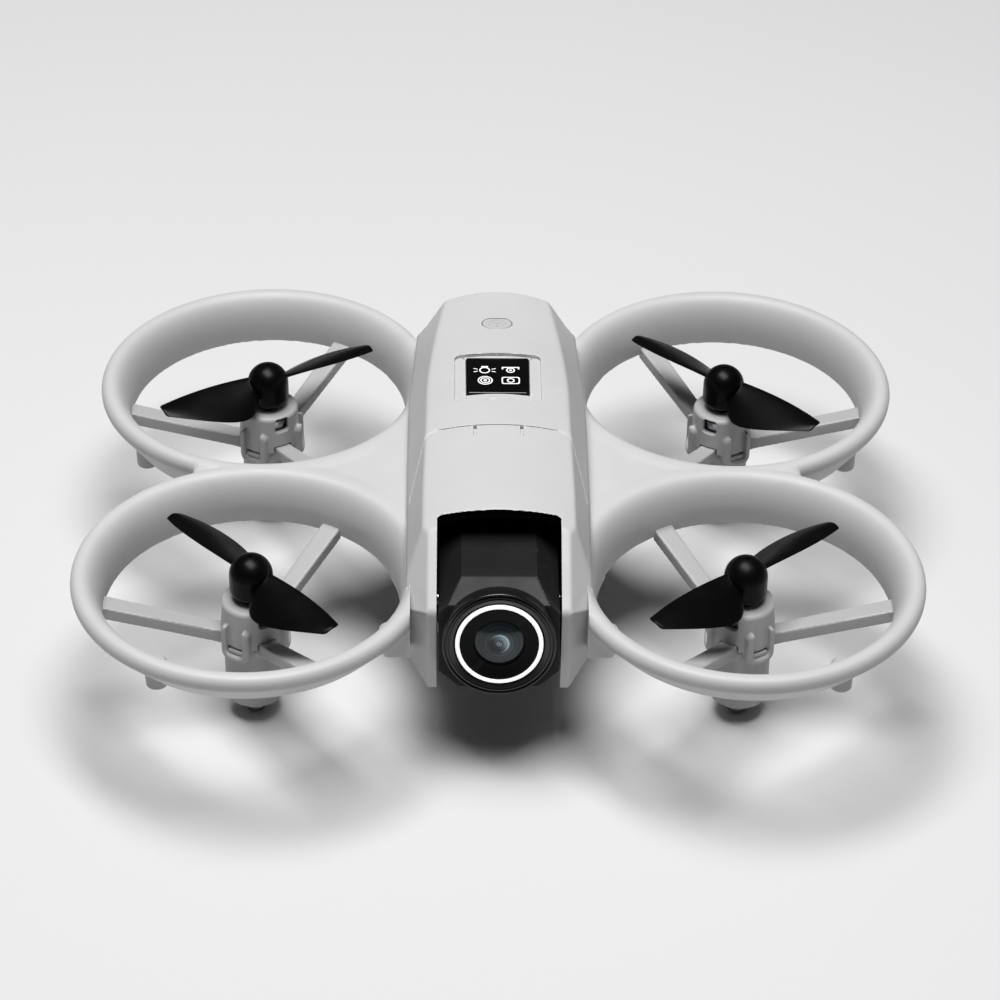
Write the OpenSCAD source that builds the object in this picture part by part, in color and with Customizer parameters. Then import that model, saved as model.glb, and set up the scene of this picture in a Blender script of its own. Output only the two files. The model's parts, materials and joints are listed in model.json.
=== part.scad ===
// Palm drone: four ducted two-blade rotors around a short fuselage.
// A tilting camera hangs between two cheeks at the nose (-Y), and a battery slides out of the tail (+Y).
// Origin: centre of the outline, on the plane the four rubber feet stand on. +Z up.

/* [View] */
// Sub-part to draw, or all of them

/* [Airframe] */
// Distance between the left and right rotor axes
axis_dx = 91; // [84:0.5:98]
// Distance between the front and rear rotor axes
axis_dy = 63; // [60:0.5:68]
// Height of the guard-ring datum above the feet
deck_h = 31.8; // [30:0.1:38]
// Outer radius of a guard ring
ring_r = 33; // [31:0.25:35]
// Radius of the outer edge of a guard ring
crest_r = 2.1; // [1.5:0.1:3]
// Inner radius at the foot of a duct
duct_r = 27.4; // [26.5:0.1:28.5]
// Depth of the duct wall below the datum
duct_d = 8.6; // [6:0.1:11]
// Wall thickness of the moulded shells
wall = 1.2; // [0.9:0.1:1.8]

/* [Fuselage] */
// Height of the roof crown above the datum
roof_h = 14.4; // [12:0.2:17]
// Radius of the roof dome across the fuselage
dome_r = 46; // [36:1:80]
// Depth of the belly below the datum
belly_d = 24; // [20:0.5:27]
// Forward reach of the cheeks
nose_y = 43.8; // [42:0.2:46]
// Rearward reach of the tail
tail_y = 43; // [41:0.2:46]
// Half width at wing level
side_x = 17.2; // [16.5:0.1:18]
// Position of the seam between the nose cover and the rear roof
seam_y = -4; // [-8:0.5:0]

/* [Rotors] */
// Tip radius of a propeller
prop_r = 23.1; // [20:0.1:25]
// Radius of the spinner
spin_r = 4.05; // [3.5:0.05:4.5]
// Blade pitch at the root
pitch_root = 34; // [15:1:40]
// Blade pitch at the tip
pitch_tip = 8.5; // [6:0.5:20]
// Heading at rest of each pair of blades, from the inboard direction
head_fl = -48; // [-90:1:90]
head_fr = -41; // [-90:1:90]
head_rl = 30; // [-90:1:90]
head_rr = 43; // [-90:1:90]
// Radius of the motor pod
pod_r = 5.5; // [5:0.1:6.5]
// Radius of the motor cap
cap_r = 5.75; // [5.3:0.05:6.5]

/* [Camera] */
// Upward tilt of the lens at rest
cam_tilt = 10; // [-90:1:30]
// Width of the camera housing
cam_w = 22; // [18:0.2:22.2]
// Radius of the lens barrel
barrel_r = 10.3; // [8:0.1:10.6]
// Distance from the pivot to the light-ring plane
lens_y = 18; // [15:0.5:19]
// Outer radius of the light ring
halo_r = 7.9; // [6:0.1:9]

/* [Display and button] */
// Side of the square display glass
glass_w = 12.2; // [10:0.1:14]
// Length of the power button across the roof
key_w = 5.8; // [5:0.1:8]
// Travel of the power button
key_travel = 0.6; // [0.3:0.05:0.8]

/* [Battery] */
// Width of the battery pack
pack_w = 26; // [22:0.5:27]
// Length of the battery pack
pack_l = 44; // [36:0.5:46]
// Height of the battery pack
pack_h = 17; // [14:0.5:17.5]

/* [Hidden] */
$fn = 72;
hub_x = axis_dx / 2;
hub_y = axis_dy / 2;
eps = 0.02;
lip_c = ring_r - crest_r;
lip_z = -0.8;
mouth_z = -6.6;
mid_z = -8;
bay_x = 11.35;
bay_y = -19.5;
roof_edge_y = -27.3;
roof_edge_z = 11.7;
pivot = [0, -31.1, -6.2];
arm_t = 1;
key_y = 30.6;
glass_y = 13.1;
glass_z = roof_h - 1.1;
board_z = -1.5;
pack_z = -belly_d + wall + 0.25;
strut_w = 3.2;
strut_end = 3.8;
strut_h = 2.6;
strut_in = -14.2;
strut_out = -8.5;
strut_run = duct_r - pod_r;
strut_tilt = atan((strut_out - strut_in) / strut_run);
pad_r = 1.8;
hub_in = 4.75;
FRONT_LEFT = [-1, -1];
FRONT_RIGHT = [1, -1];
REAR_LEFT = [-1, 1];
REAR_RIGHT = [1, 1];
CORNERS = [FRONT_LEFT, FRONT_RIGHT, REAR_LEFT, REAR_RIGHT];
SIDES = [-1, 1];

SHELL = [0.86, 0.86, 0.87];
SHADE = [0.74, 0.74, 0.76];
BLACK = [0.07, 0.07, 0.08];
METAL = [0.72, 0.73, 0.76];
COPPER = [0.72, 0.42, 0.22];
GREEN = [0.10, 0.32, 0.20];
GLASS = [0.10, 0.13, 0.17];
WHITE = [0.96, 0.96, 0.97];
RUBBER = [0.20, 0.20, 0.21];

// Place children at one rotor axis, mirrored so that +X always points inboard
module at_rotor(c) {
  translate([c[0] * hub_x, c[1] * hub_y, deck_h])
    scale([-c[0], 1, 1])
      children();
}

module at_deck() {
  translate([0, 0, deck_h]) children();
}

module at_pivot() {
  at_deck()
    translate(pivot)
      rotate([-cam_tilt, 0, 0])
        children();
}

// Duct mouth, from its straight foot out to the crest
bell = [for (a = [180:-15:90]) [lip_c + (lip_c - duct_r) * cos(a),
  mouth_z + (lip_z + crest_r - mouth_z) * sin(a)]];

// Duct wall section: bell mouth inside, rounded outer edge and a wall that narrows to its foot
module duct_section() {
  edge = [for (a = [72:-18:-18]) [lip_c + crest_r * cos(a), lip_z + crest_r * sin(a)]];
  polygon(concat([[duct_r, -duct_d]], bell, edge, [[duct_r + 0.6, -duct_d]]));
}

module duct_ring() {
  rotate_extrude($fn = 96) duct_section();
}

// Bore of a duct, flared above the crest so that it clears the fuselage side
module duct_bore() {
  translate([0, 0, -duct_d - 12]) cylinder(r = duct_r, h = duct_d + 12 + lip_z, $fn = 96);
  translate([0, 0, lip_z - eps]) cylinder(r1 = duct_r + 0.6, r2 = duct_r + 3.6, h = 12, $fn = 96);
}

// Bell mouth cut through a wing web
module duct_mouth() {
  rotate_extrude($fn = 96)
    polygon(concat([[0, 12], [0, -duct_d - 4], [duct_r, -duct_d - 4]], bell, [[lip_c, 12]]));
}

// One station of the fuselage: half widths at crease, wing and belly level
module station(y, len, crease, root, low, top, foot) {
  lean = (root - crease) / 7.5;
  peak = crease - lean * 6;
  translate([0, y + len, 0])
    rotate([90, 0, 0])
      linear_extrude(height = len)
        polygon([[-peak, top], [peak, top], [root, 4.5], [low, foot], [-low, foot], [-root, 4.5]]);
}

// Blank of the fuselage, inset by d on every side, before the roof is domed
module hull_blank(d) {
  hull() {
    station(tail_y - 3 - d, 3, 10.2 - d, 16.8 - d, 15 - d, 18, -belly_d + d);
    station(4, 8, 13.1 - d, side_x - d, 16 - d, 18, -belly_d + d);
    station(-30, 10, 13.6 - d, side_x - 0.1 - d, 16.4 - d, 18, -belly_d + d);
  }
}

module nose_blank(d) {
  hull() {
    station(-32, 30, 13.6 - d, side_x - 0.1 - d, 16.2 - d, 18, -belly_d + d);
    translate([-15.7 + d, -40, -belly_d + d]) cube([31.4 - 2 * d, 1, belly_d + 3]);
    translate([-12.45 + d, -nose_y + d, -belly_d + d]) cube([24.9 - 2 * d, 0.5, belly_d + 0.5]);
  }
}

// Domed roof: a level barrel over the tail and a sloping one over the nose
module roof_dome(d) {
  slope = atan((roof_h - roof_edge_z) / (seam_y - roof_edge_y));
  intersection() {
    translate([0, 60, roof_h - d - dome_r]) rotate([90, 0, 0]) cylinder(r = dome_r, h = 120, $fn = 160);
    translate([0, seam_y, roof_h - d])
      rotate([slope, 0, 0])
        translate([0, 70, -dome_r])
          rotate([90, 0, 0])
            cylinder(r = dome_r, h = 140, $fn = 160);
  }
}

// Side outline that cuts the raked nose and the tail
module side_outline(d) {
  rotate([90, 0, 90])
    translate([0, 0, -30])
      linear_extrude(height = 60)
        polygon([[tail_y - d, -belly_d + d], [tail_y - d, 5], [tail_y - 1.4 - d, 20],
          [roof_edge_y + d, 20], [roof_edge_y + d * 0.4, roof_edge_z + 0.1], [-nose_y + d, 0.2 - d * 0.6],
          [-nose_y + d, -belly_d + d]]);
}

module fuselage(d) {
  intersection() {
    union() {
      hull_blank(d);
      nose_blank(d);
    }
    roof_dome(d);
    side_outline(d);
  }
}

// Region of the nose cover: ahead of the seam, and below it along the flanks
module nose_region(g) {
  rotate([90, 0, 90])
    translate([0, 0, -30])
      linear_extrude(height = 60)
        polygon([[seam_y - g, 30], [seam_y - g, 12.5], [seam_y - 12 - g, 4.6], [-38.5, 3.2],
          [-38.5, -16.5], [-60, -16.5], [-60, 30]]);
}

module camera_bay() {
  translate([0, roof_edge_y - 30, -40]) linear_extrude(height = 80) rounded_rect(2 * bay_x, 60, 1.2);
}

// Way the battery slides along, through the tail
module pack_way() {
  translate([-pack_w / 2 - 0.25, 10, pack_z - 0.2]) cube([pack_w + 0.5, 60, pack_h + 0.4]);
}

// Slot that the camera's flat cable passes through
module flex_slot() {
  translate([-2.2, bay_y - 3, -12]) cube([4.4, 6, 1.6]);
}

// The front ducts are shallower along their leading half
module skirt_relief() {
  for (s = SIDES) translate([s * hub_x - 35, -hub_y, 0])
    rotate([90, 0, 90])
      linear_extrude(height = 70)
        polygon([[-4, -duct_d - 0.5], [-5, -duct_d], [-19, -duct_d + 1.7], [-40, -duct_d + 1.7],
          [-40, -duct_d - 4], [-4, -duct_d - 4]]);
}

// Wing web between the rings, rising to the fuselage side
module wing_web(s) {
  scale([s, 1, 1]) {
    translate([0, 0, -4.2])
      linear_extrude(height = 5.3)
        polygon([[12, -46.4], [17, -48.2], [22, -46], [30, -20], [57, -2], [58.6, 0], [57, 2], [30, 20],
          [22, 47], [17, 49.2], [12, 46.4]]);
    translate([0, 22, 0])
      rotate([90, 0, 0])
        linear_extrude(height = 44)
          polygon([[12, -3], [12, 8], [16.2, 6.2], [17.8, 4], [20.5, 2.2], [24.5, 1.15], [26, -3]]);
  }
}

module upper_shell() {
  color(SHELL) at_deck() difference() {
    union() {
      for (c = CORNERS) translate([c[0] * hub_x, c[1] * hub_y, 0]) duct_ring();
      difference() {
        union() {
          difference() {
            for (s = SIDES) wing_web(s);
            for (c = CORNERS) translate([c[0] * hub_x, c[1] * hub_y, 0]) duct_mouth();
          }
          intersection() {
            fuselage(0);
            translate([-40, -50, mid_z]) cube([80, 120, 60]);
          }
        }
        for (c = CORNERS) translate([c[0] * hub_x, c[1] * hub_y, 0]) duct_bore();
        nose_region(0);
      }
    }
    intersection() {
      fuselage(wall);
      translate([-40, -50, mid_z - 1]) cube([80, 120, 60]);
    }
    translate([-17.4, -60, mid_z - 5]) cube([34.8, 60 - 37, 30]);
    translate([-bay_x - arm_t - 0.1, -60, mid_z - 5]) cube([2 * (bay_x + arm_t + 0.1), 60 + bay_y, 30]);
    skirt_relief();
    pack_way();
    display_recess();
    key_hole(0.2);
    translate([-4.7, tail_y - 4, board_z + 1.15]) cube([9.4, 10, 3.7]);
  }
}

module nose_cover() {
  color(SHELL) at_deck() difference() {
    intersection() {
      fuselage(0);
      nose_region(0.12);
    }
    intersection() {
      fuselage(wall);
      translate([-40, -nose_y + wall, -40]) cube([80, 80, 80]);
    }
    camera_bay();
    translate([-40, -60, -60]) cube([80, 80, 60 - 16.5]);
    for (c = [FRONT_LEFT, FRONT_RIGHT]) translate([c[0] * hub_x, c[1] * hub_y, 0]) duct_clear();
    for (s = SIDES) translate([s * 4.4 - 0.3, seam_y - 2.6, 8]) cube([0.6, 4, 12]);
  }
}

// Room kept for a whole duct ring, so that the nose cover stops at it
module duct_clear() {
  grown = crest_r + 0.15;
  crest = [for (a = [-18:18:90]) [lip_c + grown * cos(a), lip_z + grown * sin(a)]];
  rotate_extrude($fn = 96)
    polygon(concat([[0, -duct_d - 0.15], [duct_r + 0.75, -duct_d - 0.15]], crest, [[0, lip_z + grown]]));
  translate([0, 0, lip_z + crest_r]) cylinder(r1 = duct_r + 1.3, r2 = duct_r + 4.1, h = 12, $fn = 96);
}

module belly_shell() {
  color(SHADE) at_deck() difference() {
    intersection() {
      fuselage(0);
      translate([-40, bay_y, -60]) cube([80, 100, 60 + mid_z - 0.1]);
    }
    intersection() {
      fuselage(wall);
      translate([-40, bay_y + wall, -60]) cube([80, 100, 80]);
    }
    for (c = CORNERS) translate([c[0] * hub_x, c[1] * hub_y, 0])
      translate([0, 0, -30]) cylinder(r = duct_r + 0.7, h = 40, $fn = 96);
    pack_way();
    flex_slot();
    translate([0, -10, -belly_d - 1]) cylinder(r = 3.1, h = 4, $fn = 48);
    translate([-4.1, -6.3, -belly_d - 1]) cube([8.2, 4.7, 4]);
    for (s = SIDES) translate([s * 11.5, -15, -belly_d - 1]) cylinder(r = 0.75, h = 4, $fn = 24);
    for (s = SIDES) translate([s * 14.2, 21, -belly_d - 1]) cylinder(r = 0.75, h = 4, $fn = 24);
  }
}

// Three struts from the motor pod to the duct, the pod itself and its leg
// The leading strut of a front duct rises by lift at its outer end, to meet the shallower wall
module duct_frame(lift) {
  difference() {
    union() {
      translate([0, 0, -27.4]) cylinder(r = pod_r, h = 13.2);
      translate([0, 0, -30.5]) cylinder(r1 = 2.2, r2 = pod_r, h = 3.12);
      rotate([0, 0, 60]) strut(0);
      rotate([0, 0, 180]) strut(0);
      rotate([0, 0, 300]) strut(lift);
      for (a = [0:120:240]) rotate([0, 0, a]) translate([pod_r - 0.5, -1.5, -15.1]) cube([1, 3, 0.9]);
    }
    translate([0, 0, -18.2]) cylinder(r = hub_in, h = 30);
    translate([0, 0, -26.6]) cylinder(r = 4.2, h = 7.2);
    translate([0, 0, -33]) cylinder(r = 1.2, h = 4.5, $fn = 32);
    translate([0, 0, -21]) cylinder(r = 1.1, h = 5, $fn = 24);
  }
}

module strut(lift) {
  run = duct_r + 0.45 - pod_r + 0.6;
  bend = 15.5;
  bend_z = strut_in + bend * tan(strut_tilt);
  end_z = strut_out + lift;
  intersection() {
    translate([0, strut_end, 0]) rotate([90, 0, 0]) linear_extrude(height = 2 * strut_end)
      translate([pod_r - 0.6, 0])
        polygon([[0, strut_in - strut_h / 2], [bend, bend_z - strut_h / 2], [run + 1, end_z - strut_h / 2],
          [run + 1, end_z + strut_h / 2], [bend, bend_z + strut_h / 2], [0, strut_in + strut_h / 2]]);
    translate([pod_r - 0.6, 0, -30]) linear_extrude(height = 30)
      polygon([[0, -strut_w / 2], [run + 1, -strut_end / 2], [run + 1, strut_end / 2], [0, strut_w / 2]]);
    translate([0, 0, -25]) cylinder(r = duct_r + 0.45, h = 30, $fn = 96);
  }
}

module framed(c) {
  color(SHADE) at_rotor(c) duct_frame(c[1] < 0 ? 2.7 : 0);
}
module duct_frame_fl() { framed(FRONT_LEFT); }
module duct_frame_fr() { framed(FRONT_RIGHT); }
module duct_frame_rl() { framed(REAR_LEFT); }
module duct_frame_rr() { framed(REAR_RIGHT); }

// Motor cap: a windowed cup with three latch loops that hook over the pod's ledges
module motor_cap() {
  difference() {
    union() {
      translate([0, 0, -14.15]) cylinder(r = cap_r, h = 7.55);
      translate([0, 0, -6.6]) cylinder(r1 = cap_r, r2 = cap_r - 0.88, h = 0.88);
      for (a = [0:120:240]) rotate([0, 0, a]) latch_loop();
    }
    translate([0, 0, -15]) cylinder(r = hub_in, h = 8.2);
    translate([0, 0, -8]) cylinder(r = 2.4, h = 4, $fn = 40);
    for (a = [60:120:300]) rotate([0, 0, a]) {
      translate([3, -1.5, -9.1]) cube([4, 3, 2.9]);
      translate([3, -strut_w / 2 - 0.15, -15]) cube([4, strut_w + 0.3, 2.5]);
    }
    translate([0, 0, -19]) cylinder(r = pod_r + 0.05, h = 4.85);
  }
}

module latch_loop() {
  difference() {
    translate([pod_r - 0.7, -3, -16.4]) cube([2.1, 6, 7.2]);
    translate([pod_r - 2, -1.8, -15.2]) cube([4, 3.6, 2.2]);
  }
}

module capped(c) {
  color(SHADE) at_rotor(c) motor_cap();
}
module motor_cap_fl() { capped(FRONT_LEFT); }
module motor_cap_fr() { capped(FRONT_RIGHT); }
module motor_cap_rl() { capped(REAR_LEFT); }
module motor_cap_rr() { capped(REAR_RIGHT); }

// Stator: base plate, core with nine teeth and a sleeve bearing
module motor_stator() {
  difference() {
    union() {
      translate([0, 0, -18.2]) cylinder(r = hub_in - 0.1, h = 0.9);
      translate([0, 0, -17.4]) cylinder(r = 1.5, h = 8.1, $fn = 36);
      translate([0, 0, -16]) cylinder(r = 2.4, h = 5.4, $fn = 36);
      for (a = [0:40:320]) rotate([0, 0, a]) translate([2, -0.45, -15.6]) cube([1.45, 0.9, 4.6]);
    }
    translate([0, 0, -19]) cylinder(r = 0.83, h = 12, $fn = 32);
  }
}

module stated(c) {
  color(COPPER) at_rotor(c) motor_stator();
}
module motor_stator_fl() { stated(FRONT_LEFT); }
module motor_stator_fr() { stated(FRONT_RIGHT); }
module motor_stator_rl() { stated(REAR_LEFT); }
module motor_stator_rr() { stated(REAR_RIGHT); }

// Rotor bell with its shaft, which the propeller is pressed on
module rotor_bell() {
  difference() {
    translate([0, 0, -16.4]) cylinder(r = 4.4, h = 9);
    translate([0, 0, -17]) cylinder(r = 3.8, h = 8.6);
  }
  translate([0, 0, -18.6]) cylinder(r = 0.75, h = 19, $fn = 32);
}

module belled(c) {
  color(METAL) at_rotor(c) rotor_bell();
}
module rotor_bell_fl() { belled(FRONT_LEFT); }
module rotor_bell_fr() { belled(FRONT_RIGHT); }
module rotor_bell_rl() { belled(REAR_LEFT); }
module rotor_bell_rr() { belled(REAR_RIGHT); }

// Blade plan: t runs from 0 at the root to 1 at the tip, with a front edge and a wider rear edge
root_x = 3;
stations = 12;
arc_n = 5;
function blade_x(t) = root_x + t * (prop_r - root_x);
function front_edge(t) = 2.14 + 1.76 * t - 1.1 * t * t - 1.08 * t * t * t;
function rear_edge(t) = 2.26 + 6.05 * (1 - exp(-t / 0.13)) * (1 - 0.27 * t - 0.84 * t * t);
function blade_p(t) = pitch_root + (pitch_tip - pitch_root) * t;
function blade_z(t) = -0.46 + 0.66 * t;
function blade_t(t) = 0.95 - 0.4 * t;
function foil(u, side, t) = [
  -rear_edge(t) + u * (rear_edge(t) + front_edge(t)),
  0.25 * (1 - pow(2 * u - 1, 2)) + side * blade_t(t) / 2 * (0.35 + 0.65 * sin(180 * u))];
function place(q, t) = [
  blade_x(t),
  q[0] * cos(blade_p(t)) - q[1] * sin(blade_p(t)),
  blade_z(t) + q[0] * sin(blade_p(t)) + q[1] * cos(blade_p(t))];
function loop_pts(t) = concat(
  [for (i = [0:arc_n]) place(foil(i / arc_n, -1, t), t)],
  [for (i = [arc_n:-1:0]) place(foil(i / arc_n, 1, t), t)]);

module blade() {
  m = 2 * (arc_n + 1);
  pts = [for (k = [0:stations]) each loop_pts(k / stations)];
  last = stations * m;
  walls = [for (k = [0:stations - 1], i = [0:m - 1])
    each [[k * m + i, (k + 1) * m + i, (k + 1) * m + (i + 1) % m],
      [k * m + i, (k + 1) * m + (i + 1) % m, k * m + (i + 1) % m]]];
  caps = [for (i = [0:arc_n - 1])
    each [[i, i + 1, m - 2 - i], [i, m - 2 - i, m - 1 - i],
      [last + i, last + m - 2 - i, last + i + 1], [last + i, last + m - 1 - i, last + m - 2 - i]]];
  polyhedron(points = pts, faces = concat(walls, caps), convexity = 4);
}

// Spinner with a domed top, bored for the shaft
module propeller() {
  dome = [for (a = [0:9:81]) [spin_r * cos(a), -0.45 + spin_r * sin(a)]];
  rotate_extrude($fn = 64)
    polygon(concat([[0.74, -5], [3.1, -5], [spin_r - 0.35, -4.2], [spin_r - 0.02, -3.4]], dome,
      [[0.02, -0.45 + spin_r], [0.02, 1.4], [0.74, 1.4]]));
  for (a = [0, 180]) rotate([0, 0, a]) blade();
}

// Left propellers turn opposite ways front to rear; the right ones mirror them
module spun(c, heading, turn) {
  color(BLACK)
    translate([c[0] * hub_x, c[1] * hub_y, deck_h])
      scale([-c[0], 1, 1])
        rotate([0, 0, heading])
          scale([1, turn, 1])
            propeller();
}
module propeller_fl() { spun(FRONT_LEFT, head_fl, 1); }
module propeller_fr() { spun(FRONT_RIGHT, head_fr, 1); }
module propeller_rl() { spun(REAR_LEFT, head_rl, -1); }
module propeller_rr() { spun(REAR_RIGHT, head_rr, -1); }

// Rubber foot under each pod
module foot_pads() {
  color(RUBBER) for (c = CORNERS) at_rotor(c) {
    translate([0, 0, -deck_h]) cylinder(r = pad_r, h = deck_h - 30.5, $fn = 40);
    translate([0, 0, -30.6]) cylinder(r = 1.2, h = 2.1, $fn = 32);
  }
}

// Small round pegs under the ring edges
module guard_pegs() {
  color(SHADE) at_deck() {
    for (s = SIDES) {
      translate([s * (hub_x + 15.8), -hub_y - 22.6, -7.9]) peg(2.15);
      translate([s * (hub_x + 23.2), hub_y - 15.5, -9.5]) peg(2.15);
      translate([s * 17.9, -42.7, -9.7]) peg(2.3);
    }
  }
}

module peg(r) {
  cylinder(r1 = r - 0.25, r2 = r, h = 5.2, $fn = 36);
}

// Recess, glass seat and glass opening in the roof
module display_recess() {
  translate([0, glass_y - 0.5, glass_z])
    linear_extrude(height = 8)
      rounded_rect(glass_w + 4.4, glass_w + 3.4, 1.6);
  translate([0, glass_y, glass_z - 4])
    linear_extrude(height = 8)
      rounded_rect(glass_w + 1.2, glass_w + 1.2, 0.9);
}

module rounded_rect(w, l, r) {
  square([w - 2 * r, l], center = true);
  square([w, l - 2 * r], center = true);
  for (x = SIDES, y = SIDES) translate([x * (w / 2 - r), y * (l / 2 - r)]) circle(r = r, $fn = 32);
}

module display_bezel() {
  color(BLACK) at_deck() translate([0, glass_y, glass_z - 1.9])
    linear_extrude(height = 1.9)
      difference() {
        rounded_rect(glass_w + 1.1, glass_w + 1.1, 0.85);
        rounded_rect(glass_w - 1.6, glass_w - 1.6, 0.5);
      }
}

module display_glass() {
  color(GLASS) at_deck() translate([0, glass_y, glass_z])
    linear_extrude(height = 0.45)
      rounded_rect(glass_w, glass_w, 0.5);
}

// Four generic symbols on the glass: lamp, handset, concentric target and camera frame
module display_icons() {
  color(WHITE) at_deck() translate([0, glass_y, glass_z + 0.45])
    linear_extrude(height = 0.04) {
      translate([-2.5, 1.8]) {
        difference() {
          circle(r = 1.05, $fn = 32);
          circle(r = 0.8, $fn = 32);
        }
        translate([-0.65, 0.95]) square([1.3, 0.45]);
        for (a = [-195, -165, -15, 15]) rotate(a) translate([1.4, -0.1]) square([0.8, 0.2]);
      }
      translate([2.5, 1.8]) {
        translate([-1.7, 0.85]) square([3.4, 0.28]);
        for (s = SIDES) translate([s * 1.55 - 0.15, 0.35]) square([0.3, 0.6]);
        difference() {
          circle(r = 0.85, $fn = 32);
          circle(r = 0.6, $fn = 32);
        }
        circle(r = 0.28, $fn = 20);
      }
      translate([-2.4, -1.7]) {
        for (r = [1.45, 0.95]) difference() {
          circle(r = r, $fn = 40);
          circle(r = r - 0.24, $fn = 40);
        }
        circle(r = 0.35, $fn = 20);
      }
      translate([2.5, -1.7]) {
        difference() {
          rounded_rect(3.5, 2.4, 0.5);
          rounded_rect(3, 1.9, 0.4);
        }
        difference() {
          circle(r = 0.75, $fn = 32);
          circle(r = 0.5, $fn = 32);
        }
      }
    }
}

// Oval outline shared by the button and its hole, grown by g
module key_oval(g) {
  r = 1.7 + g;
  for (s = SIDES) translate([s * (key_w / 2 - 1.7), 0]) circle(r = r, $fn = 40);
  square([key_w - 3.4, 2 * r], center = true);
}

module key_hole(g) {
  translate([0, key_y, 4]) linear_extrude(height = 20) key_oval(g);
}

module power_button() {
  color(SHELL) at_deck() translate([0, key_y, 0]) {
    translate([0, 0, roof_h - 1.3]) linear_extrude(height = 1.35) key_oval(0);
    translate([0, 0, roof_h - 2.4]) linear_extrude(height = 0.9) key_oval(0.75);
    translate([0, 0, roof_h - 5]) cylinder(r = 0.9, h = 4, $fn = 32);
  }
}

module button_switch() {
  color(METAL) at_deck() translate([0, key_y, 0]) {
    translate([-2, -2, board_z + 1]) cube([4, 4, roof_h - 7.4 - board_z - 1]);
    translate([0, 0, roof_h - 7.5]) cylinder(r = 1.2, h = 1.6, $fn = 32);
  }
}

// Main board above the battery, with its shield can and chips
module main_board() {
  color(GREEN) at_deck() difference() {
    translate([-13, -16, board_z]) cube([26, 54, 1]);
    for (s = SIDES, y = [-12, 34]) translate([s * 10.5, y, board_z - 1]) cylinder(r = 0.9, h = 4, $fn = 24);
  }
}

module shield_can() {
  color(METAL) at_deck() difference() {
    translate([-9, -14, board_z + 1]) cube([18, 16, 2.6]);
    translate([-8.7, -13.7, board_z + 0.8]) cube([17.4, 15.4, 2.5]);
  }
}

module board_chips() {
  color(BLACK) at_deck() {
    translate([-6, -11, board_z + 1]) cube([7, 7, 1]);
    translate([3, -10, board_z + 1]) cube([4, 5, 0.9]);
    translate([-7, 20, board_z + 1]) cube([5, 5, 1.1]);
    translate([3, 21, board_z + 1]) cube([6, 3, 1.4]);
  }
}

// Camera yoke: a back plate and two arms that line the cheeks
module camera_yoke() {
  color(BLACK) at_deck() difference() {
    union() {
      for (s = SIDES) translate([s * (bay_x + arm_t / 2) - arm_t / 2, 0, 0])
        rotate([90, 0, 90])
          linear_extrude(height = arm_t)
            polygon([[bay_y - 0.1, 5.4], [-33.2, 5.4], [-nose_y + 2.6, -0.8], [-nose_y + 2.6, -16], [bay_y - 0.1, -16]]);
      translate([-bay_x - arm_t, bay_y - 0.6, -12.6]) cube([2 * (bay_x + arm_t), 0.5, 18]);
    }
    translate(pivot) rotate([0, 90, 0]) translate([0, 0, -20]) cylinder(r = 1.3, h = 40, $fn = 40);
    flex_slot();
  }
}

// Tilt motor in the left cheek, outside the yoke arm
module tilt_motor() {
  color(METAL) at_deck() translate([-bay_x - arm_t, pivot[1], pivot[2]]) rotate([0, -90, 0]) difference() {
    cylinder(r = 4.6, h = 2.4);
    translate([0, 0, -1]) cylinder(r = 1.3, h = 2.6, $fn = 40);
  }
}

// Pivot pins of the camera: motor shaft on the left, trunnion on the right
module camera_pivot() {
  color(METAL) at_pivot() for (s = SIDES)
    translate([s * (cam_w / 2 - 2), 0, 0])
      rotate([0, s * 90, 0])
        cylinder(r = 1.24, h = 3.3, $fn = 40);
}

// Camera housing: a chamfered block with a rounded back, and a round collar in front
module camera_housing() {
  half = cam_w / 2;
  color(BLACK) at_pivot() difference() {
    union() {
      intersection() {
        translate([0, 10, 0]) rotate([90, 0, 0]) linear_extrude(height = 18.5)
          polygon([[-6.9, 9.6], [6.9, 9.6], [half, 5.6], [half, -7.2], [7.2, -10.6], [-7.2, -10.6],
            [-half, -7.2], [-half, 5.6]]);
        union() {
          rotate([0, 90, 0]) cylinder(r = 9.9, h = 30, center = true);
          translate([-20, -20, -20]) cube([40, 20, 40]);
        }
      }
      translate([0, -8.4, 0]) rotate([90, 0, 0]) cylinder(r1 = 10.9, r2 = 10.6, h = 3.2);
    }
    translate([0, -5, 0]) rotate([90, 0, 0]) cylinder(r = 8.2, h = 12);
    for (s = SIDES) translate([s * (half - 2), 0, 0]) rotate([0, s * 90, 0])
      cylinder(r = 1.24, h = 6, $fn = 40);
    translate([-7.5, -2, -6.5]) cube([15, 9, 12.5]);
    translate([-2.2, 6, -3]) cube([4.4, 5, 1.6]);
  }
}

module lens_barrel() {
  color(BLACK) at_pivot() difference() {
    union() {
      translate([0, -11.6, 0]) rotate([90, 0, 0]) cylinder(r = barrel_r, h = lens_y - 12.2);
      translate([0, -lens_y + 0.62, 0]) rotate([90, 0, 0]) cylinder(r1 = barrel_r, r2 = barrel_r - 0.6, h = 0.6);
      translate([0, -5.1, 0]) rotate([90, 0, 0]) cylinder(r = 8.15, h = 7);
    }
    translate([0, -lens_y + 0.5, 0]) rotate([90, 0, 0]) cylinder(r = halo_r + 0.03, h = 3);
    translate([0, -4, 0]) rotate([90, 0, 0]) cylinder(r = 5.2, h = 20);
  }
}

module light_ring() {
  color(WHITE) at_pivot() translate([0, -lens_y + 0.5, 0]) rotate([90, 0, 0]) difference() {
    cylinder(r = halo_r, h = 0.6);
    translate([0, 0, -1]) cylinder(r = halo_r - 0.85, h = 3);
  }
}

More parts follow.
